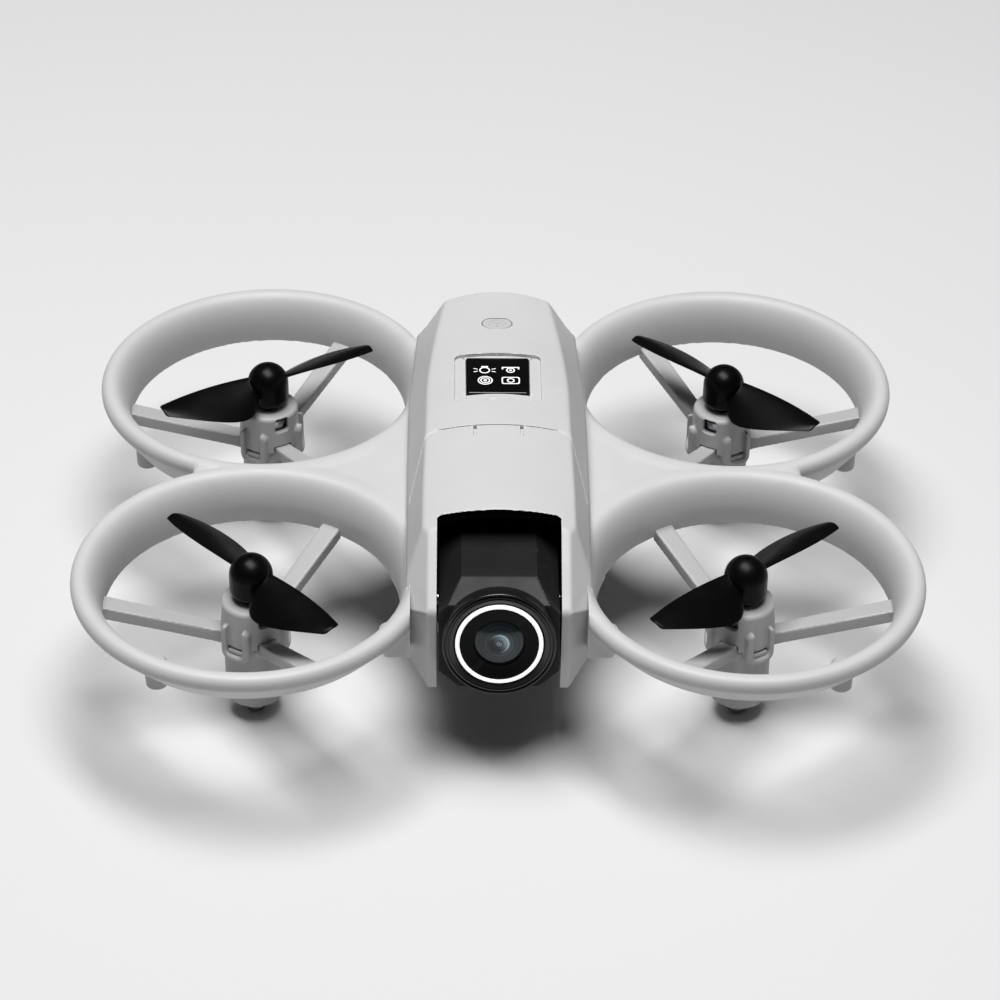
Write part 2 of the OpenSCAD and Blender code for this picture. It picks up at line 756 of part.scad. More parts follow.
module lens_hood() {
  color(BLACK) at_pivot() difference() {
    translate([0, -lens_y + 0.5, 0]) rotate([90, 0, 0]) cylinder(r = halo_r - 0.87, h = 0.5);
    translate([0, -lens_y + 1, 0]) rotate([90, 0, 0]) cylinder(r1 = 4.3, r2 = 4.9, h = 1.2);
  }
}

// Lens: a domed front element in a short cell
module lens_glass() {
  color(GLASS) at_pivot() {
    translate([0, -6, 0]) rotate([90, 0, 0]) cylinder(r = 5.15, h = lens_y - 6.5);
    intersection() {
      translate([0, -lens_y + 0.55 + 11, 0]) sphere(r = 11.6, $fn = 96);
      translate([0, -lens_y + 1, 0]) rotate([90, 0, 0]) cylinder(r = 4.25, h = 3);
    }
  }
}

// Flat cable from the housing's back to the board
module camera_flex() {
  color(COPPER) at_deck() {
    translate([-2, bay_y - 0.8, -11.6]) cube([4, 4.2, 0.2]);
    translate([-2, bay_y + 3.2, -11.6]) cube([4, 0.2, 10.1]);
  }
}

module flow_camera() {
  color(BLACK) at_deck() translate([0, -10, -belly_d]) {
    cylinder(r = 3, h = 4.5, $fn = 48);
    translate([-3.6, -3.6, 1.25]) cube([7.2, 6.6, 3.2]);
  }
}

module range_sensor() {
  color(GLASS) at_deck() {
    translate([-4, -6.2, -belly_d + 0.1]) cube([8, 4.5, 2]);
  }
}

// Charging socket over the battery, in the tail
module charge_port() {
  color(METAL) at_deck() difference() {
    translate([-4.5, tail_y - 7.6, board_z + 1.2]) cube([9, 7.3, 3.4]);
    translate([-4, tail_y - 6.6, board_z + 1.6]) cube([8, 8, 2.6]);
  }
}

module antennas() {
  color(GREEN) at_deck() for (s = SIDES)
    translate([s * 14.6 - 0.4, -25.8, -7]) cube([0.8, 5.8, 9]);
}

module speaker() {
  color(BLACK) at_deck() translate([0, 3.6, -5.2]) cylinder(r = 4, h = 3.2, $fn = 48);
}

// Battery pack with its rear grip wall
module battery_pack() {
  color(SHADE) at_deck() difference() {
    union() {
      translate([-pack_w / 2, tail_y - pack_l, pack_z]) cube([pack_w, pack_l + 0.4, pack_h]);
      translate([-pack_w / 2 + 3, tail_y - 0.2, pack_z + 4]) cube([pack_w - 6, 1.2, 1.2]);
    }
    for (s = SIDES) translate([s * (pack_w / 2 - 1.2) - 1.2, tail_y - 8.2, pack_z + 5]) cube([2.4, 9, 7]);
    translate([-6, tail_y - pack_l - 1, pack_z + 10]) cube([12, 2.2, 3]);
  }
}

// Spring tab on one side of the battery
module latch_tab(s) {
  color(RUBBER) at_deck() translate([s * (pack_w / 2 - 0.7) - 0.6, tail_y - 8, pack_z + 5.2])
    cube([1.2, 8.6, 6.6]);
}
module battery_latch_l() { latch_tab(-1); }
module battery_latch_r() { latch_tab(1); }

module battery_contacts() {
  color(METAL) at_deck() for (x = [-4.2:2.1:4.2])
    translate([x - 0.5, tail_y - pack_l + 0.1, pack_z + 10.2]) cube([1, 1.1, 2.6]);
}

module battery_terminal() {
  color(BLACK) at_deck() translate([-6.5, tail_y - pack_l - 4, pack_z + 9]) cube([13, 3.6, 5]);
}

// Belly screws and the board's screws
module shell_screws() {
  color(METAL) at_deck() {
    for (s = SIDES) translate([s * 11.5, -15, -belly_d + 0.2]) screw(5);
    for (s = SIDES, y = [-12, 34]) translate([s * 10.5, y, board_z + 1.6]) rotate([180, 0, 0]) screw(2.2);
  }
}

module motor_screws() {
  color(METAL) for (c = CORNERS) at_rotor(c)
    for (a = [30, 150, 270]) rotate([0, 0, a]) translate([3.2, 0, -17.3]) screw(0.4);
}

module screw(len) {
  difference() {
    cylinder(r = 0.7, h = len, $fn = 24);
    translate([0, 0, -1]) cylinder(r = 0.35, h = 1.4, $fn = 6);
  }
}

// Motor leads, along the inboard struts to the belly
module motor_leads() {
  color(COPPER) for (c = CORNERS) at_rotor(c)
    rotate([0, 0, -60 * c[1]])
      translate([pod_r + 0.4, -0.5, strut_in - strut_h / 2 - 0.2])
        rotate([0, -strut_tilt, 0])
          cube([strut_run - 7.5, 1, 0.4]);
}

upper_shell();
nose_cover();
belly_shell();
duct_frame_fl();
duct_frame_fr();
duct_frame_rl();
duct_frame_rr();
motor_cap_fl();
motor_cap_fr();
motor_cap_rl();
motor_cap_rr();
motor_stator_fl();
motor_stator_fr();
motor_stator_rl();
motor_stator_rr();
rotor_bell_fl();
rotor_bell_fr();
rotor_bell_rl();
rotor_bell_rr();
propeller_fl();
propeller_fr();
propeller_rl();
propeller_rr();
foot_pads();
guard_pegs();
display_bezel();
display_glass();
display_icons();
power_button();
button_switch();
main_board();
shield_can();
board_chips();
camera_yoke();
tilt_motor();
camera_housing();
lens_barrel();
light_ring();
lens_hood();
lens_glass();
camera_pivot();
camera_flex();
flow_camera();
range_sensor();
charge_port();
antennas();
speaker();
battery_pack();
battery_latch_l();
battery_latch_r();
battery_contacts();
battery_terminal();
shell_screws();
motor_screws();
motor_leads();
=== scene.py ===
import json
import math

import bpy
import numpy as np
from mathutils import Matrix, Vector

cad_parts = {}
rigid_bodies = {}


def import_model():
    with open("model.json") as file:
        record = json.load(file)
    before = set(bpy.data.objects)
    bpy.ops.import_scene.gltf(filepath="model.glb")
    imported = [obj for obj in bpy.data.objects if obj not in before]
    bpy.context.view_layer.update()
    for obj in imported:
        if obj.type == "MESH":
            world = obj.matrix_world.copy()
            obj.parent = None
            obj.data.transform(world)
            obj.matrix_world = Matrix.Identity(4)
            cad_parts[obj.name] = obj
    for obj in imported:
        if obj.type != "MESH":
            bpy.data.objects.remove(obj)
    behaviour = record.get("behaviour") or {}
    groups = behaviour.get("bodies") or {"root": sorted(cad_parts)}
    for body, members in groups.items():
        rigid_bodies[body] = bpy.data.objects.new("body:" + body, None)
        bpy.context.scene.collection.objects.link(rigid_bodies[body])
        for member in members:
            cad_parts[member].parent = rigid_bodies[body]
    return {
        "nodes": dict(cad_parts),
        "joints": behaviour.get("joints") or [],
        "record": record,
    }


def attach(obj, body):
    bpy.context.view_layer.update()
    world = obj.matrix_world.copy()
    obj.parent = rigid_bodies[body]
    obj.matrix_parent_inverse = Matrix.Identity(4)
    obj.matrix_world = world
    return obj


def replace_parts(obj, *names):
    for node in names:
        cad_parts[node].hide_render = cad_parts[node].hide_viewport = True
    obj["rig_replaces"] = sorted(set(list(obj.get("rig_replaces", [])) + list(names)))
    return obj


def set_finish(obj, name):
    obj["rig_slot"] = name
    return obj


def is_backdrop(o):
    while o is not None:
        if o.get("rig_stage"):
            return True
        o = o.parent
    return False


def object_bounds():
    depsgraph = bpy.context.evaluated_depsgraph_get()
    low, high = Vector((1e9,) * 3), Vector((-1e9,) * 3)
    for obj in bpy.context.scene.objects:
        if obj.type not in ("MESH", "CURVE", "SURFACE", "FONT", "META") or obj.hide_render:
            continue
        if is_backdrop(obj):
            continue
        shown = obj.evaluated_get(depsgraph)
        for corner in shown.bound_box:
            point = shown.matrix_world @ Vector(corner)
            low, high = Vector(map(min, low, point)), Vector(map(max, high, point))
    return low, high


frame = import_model()
cad_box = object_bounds()
NODES = frame["nodes"]
SLOT = {s["node"]: s["material_slot"] for s in frame["record"]["subparts"]}
JOINT = {j["name"]: j for j in frame["joints"]}

# ---------------------------------------------------------------- sizes, in millimetres
MM = 0.001
CORNERS = {"fl": (-1, -1), "fr": (1, -1), "rl": (-1, 1), "rr": (1, 1)}
hub = [v / MM for v in JOINT["rotor_fr_spin"]["pos_m"]]
HUB_X, HUB_Y = hub[0], -hub[1]
DECK = hub[2] + 0.2
RING_R = cad_box[1][0] / MM - HUB_X
CREST_R, CREST_Z, BELL_Z = 31.2, 1.3, -6.6  # crest of a ring, and where its bell mouth starts
DUCT_R = 27.4
DUCT_D = 8.6
DUCT_GAP = 0.7
FOOT_R = 28.0  # a ring's skirt at its foot
MID_Z = -8.0  # parting plane of upper shell and belly
WALL = 1.2
SEAM_GAP = 0.1
ROOF_H = 14.4
DOME_R = 46.0
BELLY = 24.0
FLANK_X, CREASE_X = 17.2, 13.5  # half widths amidships: flank, and crease above it
FLANK_Z = 4.4  # height of the flank's widest line
NOSE_Y = 43.8
TAIL_Y = 43.0
SEAM_Y = -4.0
ROOF_EDGE_Y, ROOF_EDGE_Z = -27.3, 11.7
CHEEK_X, CHEEK_OUT, CHEEK_Z = 13.0, 16.4, -17.0  # front edge, back edge and foot of a cheek
BAY_X = 11.35
BAY_Y = -19.5
POD_R, CAP_R, SPIN_R = 5.5, 5.75, 4.05
STRUT_IN, STRUT_OUT = -14.2, -8.5
PIVOT = Vector([v / MM for v in JOINT["camera_tilt"]["pos_m"]])
CAM_TILT = math.radians(10)
GLASS_Y = 13.1
GLASS_Z = ROOF_H - 1.1
GLASS_W = 12.2
GLASS_TOP = 0.45
KEY_Y = 30.6
PACK_Z = -BELLY + WALL + 0.25
PACK_X, PACK_H = 13.0, 17.0
STRUTS, LOOPS = (60, 180, 300), (0, 120, 240)  # headings about a pod, in degrees
LIFTED, LIFT = 300, 2.7  # the front rings' strut that ends higher, and by how much
FRONT_Z = 17.8  # the barrel's front, from the tilt axis
LENS_R, HALO_R = 4.62, 7.93
# Painted reflection on the lens: how bright the painted rings of light are, by radius
LENS_REFLECTION_RINGS = ((0, 0.85), (0.05, 0.1), (0.09, 0.55), (0.14, 0.14), (0.24, 0.2),
              (0.34, 0.3), (0.5, 0.11), (0.7, 0.06), (0.9, 0.07), (1, 0.02))  # radius, and the tone of the painted reflection at that radius
HEAD = {"fl": (-48, 1), "fr": (-41, 1), "rl": (30, -1), "rr": (43, -1)}  # blade heading, and hand


# ---------------------------------------------------------------- distance fields
def soft_min(a, b, k):
    h = np.clip(0.5 + 0.5 * (b - a) / k, 0, 1)
    return b + (a - b) * h - k * h * (1 - h)


def soft_max(a, b, k):
    return -soft_min(-a, -b, k)


def mix(a, b, t):
    t = np.clip(t, 0, 1)
    return a + (b - a) * t * t * (3 - 2 * t)


def block(x, y, z, centre, half, r):
    """A box with rounded edges."""
    d = [np.abs(q - c) - (h - r) for q, c, h in zip((x, y, z), centre, half)]
    out = np.sqrt(sum(np.maximum(q, 0) ** 2 for q in d))
    return out + np.minimum(np.maximum(np.maximum(d[0], d[1]), d[2]), 0) - r


def drum(rho, z, radius, z0, z1, r):
    """A round with its axis along z and rounded rims."""
    a = rho - (radius - r)
    b = np.abs(z - (z0 + z1) / 2) - ((z1 - z0) / 2 - r)
    return np.sqrt(np.maximum(a, 0) ** 2 + np.maximum(b, 0) ** 2) + np.minimum(np.maximum(a, b), 0) - r


def half_plane(u, v, p, q):
    """Signed distance from the line through p and q, positive on its left."""
    dx, dy = q[0] - p[0], q[1] - p[1]
    n = math.hypot(dx, dy)
    return ((u - p[0]) * -dy + (v - p[1]) * dx) / n


def contour(field, lo, hi, step):
    """Dual contouring: the closed surface where field(x, y, z) is 0, with its sharp edges kept."""
    axes = [np.arange(lo[i] - 1.5 * step, hi[i] + 1.5 * step, step) for i in range(3)]
    grid = np.meshgrid(*axes, indexing="ij")
    value = field(*grid)
    shape = np.array(value.shape)
    cells = shape - 1
    inside = value < 0
    cell_ids, points, quads_at, flips = [], [], [], []
    for d in range(3):
        e, f = (d + 1) % 3, (d + 2) % 3
        a = [slice(None)] * 3
        b = [slice(None)] * 3
        a[d], b[d] = slice(0, -1), slice(1, None)
        va, vb = value[tuple(a)], value[tuple(b)]
        idx = np.argwhere(inside[tuple(a)] != inside[tuple(b)])
        keep = (idx[:, e] > 0) & (idx[:, f] > 0) & (idx[:, e] < cells[e]) & (idx[:, f] < cells[f])
        idx = idx[keep]
        v0, v1 = va[tuple(idx.T)], vb[tuple(idx.T)]
        t = v0 / (v0 - v1)
        p = np.stack([axes[i][idx[:, i]] for i in range(3)], 1)
        lo_t, hi_t, f_lo = np.zeros(len(t)), np.ones(len(t)), v0.copy()
        for _ in range(4):
            q = p.copy()
            q[:, d] += t * step
            v = field(*q.T)
            same = (v < 0) == (f_lo < 0)
            lo_t, f_lo = np.where(same, t, lo_t), np.where(same, v, f_lo)
            hi_t, v1 = np.where(same, hi_t, t), np.where(same, v1, v)
            t = lo_t + (hi_t - lo_t) * np.clip(f_lo / (f_lo - v1 + 1e-12), 0.02, 0.98)
        p[:, d] += t * step
        points.append(p)
        ring = []
        for oe, of in ((0, 0), (-1, 0), (-1, -1), (0, -1)):
            c = idx.copy()
            c[:, e] += oe
            c[:, f] += of
            ring.append((c[:, 0] * cells[1] + c[:, 1]) * cells[2] + c[:, 2])
        quads_at.append(np.stack(ring, 1))
        flips.append(inside[tuple(a)][tuple(idx.T)])
    p = np.concatenate(points)
    quads = np.concatenate(quads_at)
    flip = np.concatenate(flips)
    h = 0.05 * step
    n = np.stack([field(*(p + h * np.eye(3)[i]).T) - field(*(p - h * np.eye(3)[i]).T) for i in range(3)], 1)
    n /= np.linalg.norm(n, axis=1)[:, None] + 1e-12
    ids, inv = np.unique(quads, return_inverse=True)
    inv = inv.reshape(quads.shape)
    count = len(ids)
    flat = inv.ravel()
    pn = np.repeat(p, 4, 0)
    nn = np.repeat(n, 4, 0)
    total = np.bincount(flat, minlength=count)
    mass = np.stack([np.bincount(flat, pn[:, i], count) for i in range(3)], 1) / total[:, None]
    rel = pn - mass[flat]
    dist = (rel * nn).sum(1)
    ata = np.empty((count, 3, 3))
    for i in range(3):
        for j in range(i, 3):
            ata[:, i, j] = ata[:, j, i] = np.bincount(flat, nn[:, i] * nn[:, j], count)
    atb = np.stack([np.bincount(flat, nn[:, i] * dist, count) for i in range(3)], 1)
    ata += np.eye(3) * (0.03 * total)[:, None, None]
    move = np.linalg.solve(ata, atb[..., None])[..., 0]
    length = np.linalg.norm(move, axis=1)
    move *= np.minimum(1, 0.9 * step / (length + 1e-12))[:, None]
    quads = np.where(flip[:, None], inv, inv[:, ::-1])
    return mass + move, quads


def mirrored(verts, faces):
    """The other hand of a piece, across x = 0."""
    v = verts.copy()
    v[:, 0] *= -1
    return v, faces[:, ::-1]


def make(name, verts, faces, body, slot, node=None, sharp=32, offset=(0, 0, DECK)):
    """A piece from vertices in millimetres from the ring datum."""
    mesh = bpy.data.meshes.new(name)
    v = (np.asarray(verts, float) + np.asarray(offset, float)) * MM
    mesh.from_pydata(v.tolist(), [], [tuple(int(i) for i in q) for q in faces])
    mesh.validate()
    mesh.shade_smooth()
    mesh.set_sharp_from_angle(angle=math.radians(sharp))
    obj = bpy.data.objects.new(name, mesh)
    bpy.context.collection.objects.link(obj)
    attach(obj, body)
    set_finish(obj, slot)
    if node:
        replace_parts(obj, *([node] if isinstance(node, str) else node))
    return obj


# ---------------------------------------------------------------- fuselage and rings
def crown(y):
    """Height of the roof's middle line: level over the tail, falling towards the nose."""
    slope = (ROOF_H - ROOF_EDGE_Z) / (SEAM_Y - ROOF_EDGE_Y)
    s = SEAM_Y + 2 - y
    return ROOF_H - slope * (s + np.sqrt(s * s + 30)) / 2 + slope * 0.55


def crease_x(y):
    """Half width of the roof at the crease."""
    rear = CREASE_X - 3.1 * np.clip((y - 8) / 35, 0, 1.1) ** 1.6
    front = CREASE_X + mix(0, 0.4, (4 - y) / 26)
    nose = mix(0, 1.3, (-30 - y) / 14)
    return np.where(y > 8, rear, front) - nose


def flank_x(y):
    """Half width of the flank, which draws in over the tail."""
    return mix(FLANK_X, 15.9, (y - 12) / 32)


def rake_plane(y, z):
    """The sloping plane that the cheeks' front edges lie on, positive ahead of it."""
    return half_plane(y, z, (-NOSE_Y, 0.3), (ROOF_EDGE_Y, ROOF_EDGE_Z + 0.15))


def cheek_x(y, z):
    """Half width of the nose, which tapers over its last few millimetres."""
    return CHEEK_X + 0.95 * np.maximum(np.minimum(-rake_plane(y, z), y + NOSE_Y), 0)


def fuselage(x, y, z, d=0.0):
    """The whole body's skin, or a skin d inside it."""
    x = np.abs(x)
    top = crown(y)
    roof = np.sqrt(x * x + (z - (top - DOME_R)) ** 2) - DOME_R
    c, w = crease_x(y), flank_x(y)
    lean = (w - c) / 7.6
    upper = (x - (c + lean * (top - 1.9 - z))) / np.sqrt(1 + lean * lean)
    lower = (x - w - (z - FLANK_Z) * 0.055) * 0.99
    side = soft_max(upper, lower, 0.5)
    tail = y - TAIL_Y + np.maximum(z - 5, 0) * 0.1 + 0.017 * x * x * np.clip(z / 8, 0, 1)
    ends = soft_max(tail, -NOSE_Y - y, 0.8)
    side = soft_max(side, (x - cheek_x(y, z)) * 0.72, 0.3)
    body = soft_max(soft_max(roof, side, 0.4), soft_max(ends, rake_plane(y, z), 0.8), 0.3)
    return soft_max(body, -BELLY - z, 1.6) + d


def oval(u, v, a, b):
    """Distance from an ellipse about the origin, near enough for blending."""
    k0 = np.sqrt((u / a) ** 2 + (v / b) ** 2)
    k1 = np.sqrt((u / a ** 2) ** 2 + (v / b ** 2) ** 2) + 1e-9
    return k0 * (k0 - 1) / k1


def bell(r, z):
    """The duct's mouth: straight at its foot, rolling out to the crest."""
    mouth = oval(np.minimum(r - CREST_R, 0), z - BELL_Z, CREST_R - DUCT_R, CREST_Z - BELL_Z)
    return np.where(z > BELL_Z, mouth, DUCT_R - r)


def ring(x, y, z, front):
    """One guard ring about its own axis: a bell mouth inside, a round rim outside, and a skirt that
    narrows to its foot. The leading half of a front ring is shallower."""
    r = np.sqrt(x * x + y * y)
    rim = RING_R - CREST_R
    lip = oval(np.maximum(r - CREST_R, 0), z - CREST_Z + rim, rim, rim)
    outside = np.where(z > CREST_Z - rim, lip, r - RING_R)
    foot = -DUCT_D + np.where(front, mix(0, 1.7, (-y - 5) / 14), 0)
    t = np.clip((z + 1.3) / (foot + 1.3), -0.2, 1.3)
    skirt = (r - RING_R - t * (FOOT_R - RING_R)) * 0.84
    solid = soft_max(np.maximum(bell(r, z), outside), skirt, 0.4)
    return soft_max(solid, foot - z, 0.2)


def rings(x, y, z):
    """All four guard rings."""
    return ring(np.abs(x) - HUB_X, np.where(y < 0, y + HUB_Y, y - HUB_Y), z, y < 0)


def to_hub(x, y):
    """Distance from the nearest rotor axis."""
    return np.sqrt((np.abs(x) - HUB_X) ** 2 + (np.abs(y) - HUB_Y) ** 2)


def web(x, y, z):
    """The wing between the rings: a plate with a waist at its tip, rising to the flank at its root."""
    ax, ay = np.abs(x), np.abs(y)
    tip = half_plane(ax, ay, (20.0, 27.0), (57.5, 0.6))
    plan = np.maximum(tip, ax - 58.2)
    plan = np.minimum(plan, np.maximum(ax - 22.0, ay - 44.8))
    root = (1 - np.clip((ax - 17.0) / 9, 0, 1)) ** 2
    top = 1.25 - mix(0, 1.1, (ax - 36) / 18) + 3.3 * root
    bottom = -4.4 - mix(0, 5.5, (25 - ax) / 5)
    plate = np.maximum((z - top) * 0.85, (bottom - z) * 0.7)
    plate = soft_max(plan, plate, 0.8)
    return soft_max(plate, bell(to_hub(x, y), z), 1.2)


def ahead(y, z):
    """Negative ahead of the seam, which sweeps forward as it goes down the flanks."""
    top = 12.4
    seam = np.interp(z, (FLANK_Z, top), (SEAM_Y - 12, SEAM_Y + 0.2))
    return (y - seam) * np.where((z > top) | (z < FLANK_Z), 1, 0.55)


def display_cut(x, y, z):
    """The shallow recess that follows the roof, and the seat through it."""
    half = GLASS_W / 2
    plan = block(x, y, 0, (0, GLASS_Y - 0.7, 0), (half + 2.25, half + 1.5, 9), 1.0)
    recess = np.maximum(plan, -0.7 - fuselage(x, y, z))
    seat = block(x, y, z, (0, GLASS_Y, GLASS_Z - 2), (half + 0.12, half + 0.12, 3), 0.5)
    return np.minimum(recess, seat)


def key_oval(x, y, grow):
    return np.sqrt(np.maximum(np.abs(x) - 1.2, 0) ** 2 + (y - KEY_Y) ** 2) - 1.7 - grow


def pack_way(x, y, z):
    """The way the battery slides in by."""
    return block(x, y, z, (0, 40, PACK_Z + 8.5), (PACK_X + 0.25, 30, PACK_H / 2 + 0.25), 0.6)


def upper_field(x, y, z):
    hull = fuselage(x, y, z)
    wings = soft_min(web(x, y, z), rings(x, y, z), 1.6)
    wings = soft_max(wings, bell(to_hub(x, y), z), 0.3)
    lowest = np.where(y < BAY_Y - 1.5, -9.4, MID_Z - 0.6)
    solid = soft_max(soft_min(wings, hull, 0.9), lowest - z, 0.3)
    cover = np.maximum(np.maximum(hull - 0.08, ahead(y, z) - 0.12), FLANK_Z - 0.2 - z)
    solid = soft_max(solid, -cover, 0.2)
    cheek = np.abs(x) - np.minimum(flank_x(y), np.maximum(cheek_x(y, z), CHEEK_OUT)) + 0.25
    solid = np.maximum(solid, -np.maximum(cheek, np.maximum(y - SEAM_Y + 12.1, z - FLANK_Z)))
    inner = fuselage(x, y, z, WALL)
    solid = soft_max(solid, -soft_max(inner, MID_Z - 6 - z, 0.3), 0.3)
    solid = soft_max(solid, -display_cut(x, y, z), 0.3)
    solid = soft_max(solid, -np.maximum(key_oval(x, y, 0.1), 4 - z), 0.2)
    solid = soft_max(solid, -pack_way(x, y, z), 0.2)
    port = block(x, y, z, (0, TAIL_Y, 1.5), (4.7, 4.0, 1.85), 0.8)
    return soft_max(solid, -port, 0.2)


def nose_field(x, y, z):
    hull = fuselage(x, y, z)
    ax = np.abs(x)
    solid = soft_max(hull, ahead(y, z) + 0.07, 0.15)
    solid = soft_max(solid, CHEEK_Z - z, 0.2)
    solid = soft_max(solid, half_plane(ax, z, (16.9, -12.2), (CHEEK_X, CHEEK_Z)), 0.3)
    inner = fuselage(x, y, z, WALL)
    solid = soft_max(solid, -soft_max(inner, np.maximum(-NOSE_Y + WALL - y, CHEEK_Z + WALL - z), 0.2), 0.2)
    solid = soft_max(solid, -np.maximum(z - MID_Z, BAY_Y - SEAM_GAP - y), 0.1)
    edge = ROOF_EDGE_Y + 1.5 * np.clip(-hull - 0.15, 0, 1.2)
    dx, dy = ax - BAY_X + 1, y - edge + 1
    mouth = np.hypot(np.maximum(dx, 0), np.maximum(dy, 0)) + np.minimum(np.maximum(dx, dy), 0) - 1
    solid = soft_max(solid, -mouth, 0.15)
    notch = block(ax, y, z, (4.4, SEAM_Y - 1.2, 17.45), (0.33, 1.4, 4.35), 0.1)
    return soft_max(solid, -notch, 0.1)


def belly_field(x, y, z):
    solid = soft_max(fuselage(x, y, z), z - MID_Z + SEAM_GAP, 0.2)
    solid = soft_max(solid, BAY_Y - y, 1.0)
    solid = soft_max(solid, -np.maximum(fuselage(x, y, z, WALL), BAY_Y + WALL - y), 0.2)
    solid = soft_max(solid, DUCT_R + DUCT_GAP - to_hub(x, y), 0.3)
    solid = soft_max(solid, -pack_way(x, y, z), 0.3)
    eye = drum(np.hypot(x, y + 10), z, 3.1, -BELLY - 2, -BELLY + 3, 0.1)
    window = block(x, y, z, (0, -3.95, -BELLY), (4.1, 2.35, 3), 0.8)
    screws = np.hypot(np.abs(x) - 11.5, y + 15) - 0.75
    return soft_max(solid, -np.minimum(np.minimum(eye, window), screws), 0.25)


def build_airframe():
    v, f = contour(upper_field, (-79, -65, -9.5), (79, 65, 15), 0.5)
    make("upper_shell_body", v, f, "airframe", "shell", "upper_shell")
    v, f = contour(nose_field, (-18, -44.5, -17), (18, -3, 15), 0.33)
    make("nose_cover_body", v, f, "airframe", "shell", "nose_cover")
    v, f = contour(belly_field, (-18, -20, -24.5), (18, 43.5, -7.5), 0.55)
    make("belly_shell_body", v, f, "airframe", "frame_plastic", "belly_shell")


# ---------------------------------------------------------------- motor pods, struts and caps
def turned(x, y, degrees):
    a = math.radians(degrees)
    return x * math.cos(a) + y * math.sin(a), y * math.cos(a) - x * math.sin(a)


def strut_field(x, y, z, degrees, lift):
    """A straight strut along one heading; lift raises its outer end."""
    u, v = turned(x, y, degrees)
    run = u - POD_R + 0.6
    tilt = (STRUT_OUT - STRUT_IN) / (DUCT_R - POD_R)
    mid = STRUT_IN + tilt * run + lift * np.clip(run / 21.5, 0, 1)
    wide = 1.6 + 0.35 * np.clip(run / 22, 0, 1)
    tall = 1.3 + mix(0, 0.25, (2.5 - run) / 2.5)
    r = 0.4
    a, b = np.abs(v) - wide + r, np.abs(z - mid) * 0.97 - tall + r
    bar = np.hypot(np.maximum(a, 0), np.maximum(b, 0)) + np.minimum(np.maximum(a, b), 0) - r
    return np.maximum(bar, -run)


def frame_field(lift):
    """A motor pod with its cone and struts."""
    def field(x, y, z):
        rho = np.hypot(x, y)
        pod = drum(rho, z, POD_R, -27.6, STRUT_IN, 0.35)
        cone = half_plane(rho, z, (POD_R - 0.02, -27.3), (2.25, -30.5))
        cone = np.maximum(cone, np.maximum(-30.5 - z, z + 27.2))
        solid = soft_min(pod, cone, 0.4)
        for degrees in STRUTS:
            raised = lift if degrees == LIFTED else 0
            solid = soft_min(solid, strut_field(x, y, z, degrees, raised), 0.7)
        for degrees in LOOPS:
            u, v = turned(x, y, degrees)
            ledge = block(u, v, z, (POD_R, 0, -14.65), (0.75, 1.5, 0.45), 0.2)
            solid = np.minimum(solid, ledge)
        solid = np.maximum(solid, rho - DUCT_R - 0.42)
        solid = soft_max(solid, -np.maximum(rho - 4.75, -18.2 - z), 0.15)
        return soft_max(solid, -np.maximum(rho - 1.2, z + 28.5), 0.1)
    return field


def cap_field(x, y, z):
    """A motor cap with three latch loops and a window over each strut."""
    rho = np.hypot(x, y)
    bulge = 0.3 * np.clip((-7 - z) / 7, 0, 1)
    solid = drum(rho - bulge, z, CAP_R, -14.15, -5.72, 0.85)
    for degrees in LOOPS:
        u, v = turned(x, y, degrees)
        out = block(0, v, z, (0, 0, -12.7), (9, 3.05, 3.65), 1.5)
        hole = block(0, v, z, (0, 0, -10.6), (9, 1.72, 4.55), 0.9)
        loop = soft_max(soft_max(out, -hole, 0.5), np.abs(u - 5.95 + 0.06 * v * v) - 1.05, 0.7)
        solid = soft_min(solid, loop, 0.35)
    solid = soft_max(solid, -np.maximum(rho - 4.75, z + 6.8), 0.15)
    solid = soft_max(solid, -(rho - 2.5), 0.3)
    solid = np.maximum(solid, -np.maximum(rho - POD_R - 0.05, z + 14.18))
    for degrees in STRUTS:
        u, v = turned(x, y, degrees)
        window = block(u, v, z, (5.5, 0, -7.6), (2.2, 1.5, 1.5), 0.6)
        notch = block(u, v, z, (5.5, 0, -14.4), (2.2, 1.85, 2.1), 0.5)
        solid = soft_max(solid, -np.minimum(window, notch), 0.25)
    return solid


def build_motors():
    cap = contour(cap_field, (-7.6, -7.6, -16.6), (7.6, 7.6, -5.4), 0.17)
    frames = {-1: contour(frame_field(LIFT), (-28, -28, -30.8), (28, 28, -3), 0.34),
              1: contour(frame_field(0), (-28, -28, -30.8), (28, 28, -5), 0.34)}
    for key, (sx, sy) in CORNERS.items():
        at = (sx * HUB_X, sy * HUB_Y, DECK)
        for node, (v, f) in (("duct_frame", frames[sy]), ("motor_cap", cap)):
            if sx > 0:
                v, f = mirrored(v, f)
            make(f"{node}_body_{key}", v, f, "airframe", "frame_plastic", f"{node}_{key}", offset=at)


# ---------------------------------------------------------------- lofted and turned meshes
def loft(loops, ends=True):
    """A skin over a list of closed loops of equal length, capped by fans."""
    n = len(loops[0])
    verts = np.concatenate(loops)
    i, k = np.meshgrid(np.arange(n), np.arange(len(loops) - 1))
    a, b = k * n + i, k * n + (i + 1) % n
    faces = [tuple(q) for q in np.stack([a, b, b + n, a + n], -1).reshape(-1, 4).tolist()]
    if ends:
        first, last = len(verts), len(verts) + 1
        verts = np.concatenate([verts, [loops[0].mean(0)], [loops[-1].mean(0)]])
        top = (len(loops) - 1) * n
        faces += [(first, (j + 1) % n, j) for j in range(n)]
        faces += [(last, top + j, top + (j + 1) % n) for j in range(n)]
    return verts, faces


def joined(*parts):
    verts, faces, base = [], [], 0
    for v, f in parts:
        verts.append(v)
        faces += [tuple(i + base for i in q) for q in f]
        base += len(v)
    return np.concatenate(verts), faces


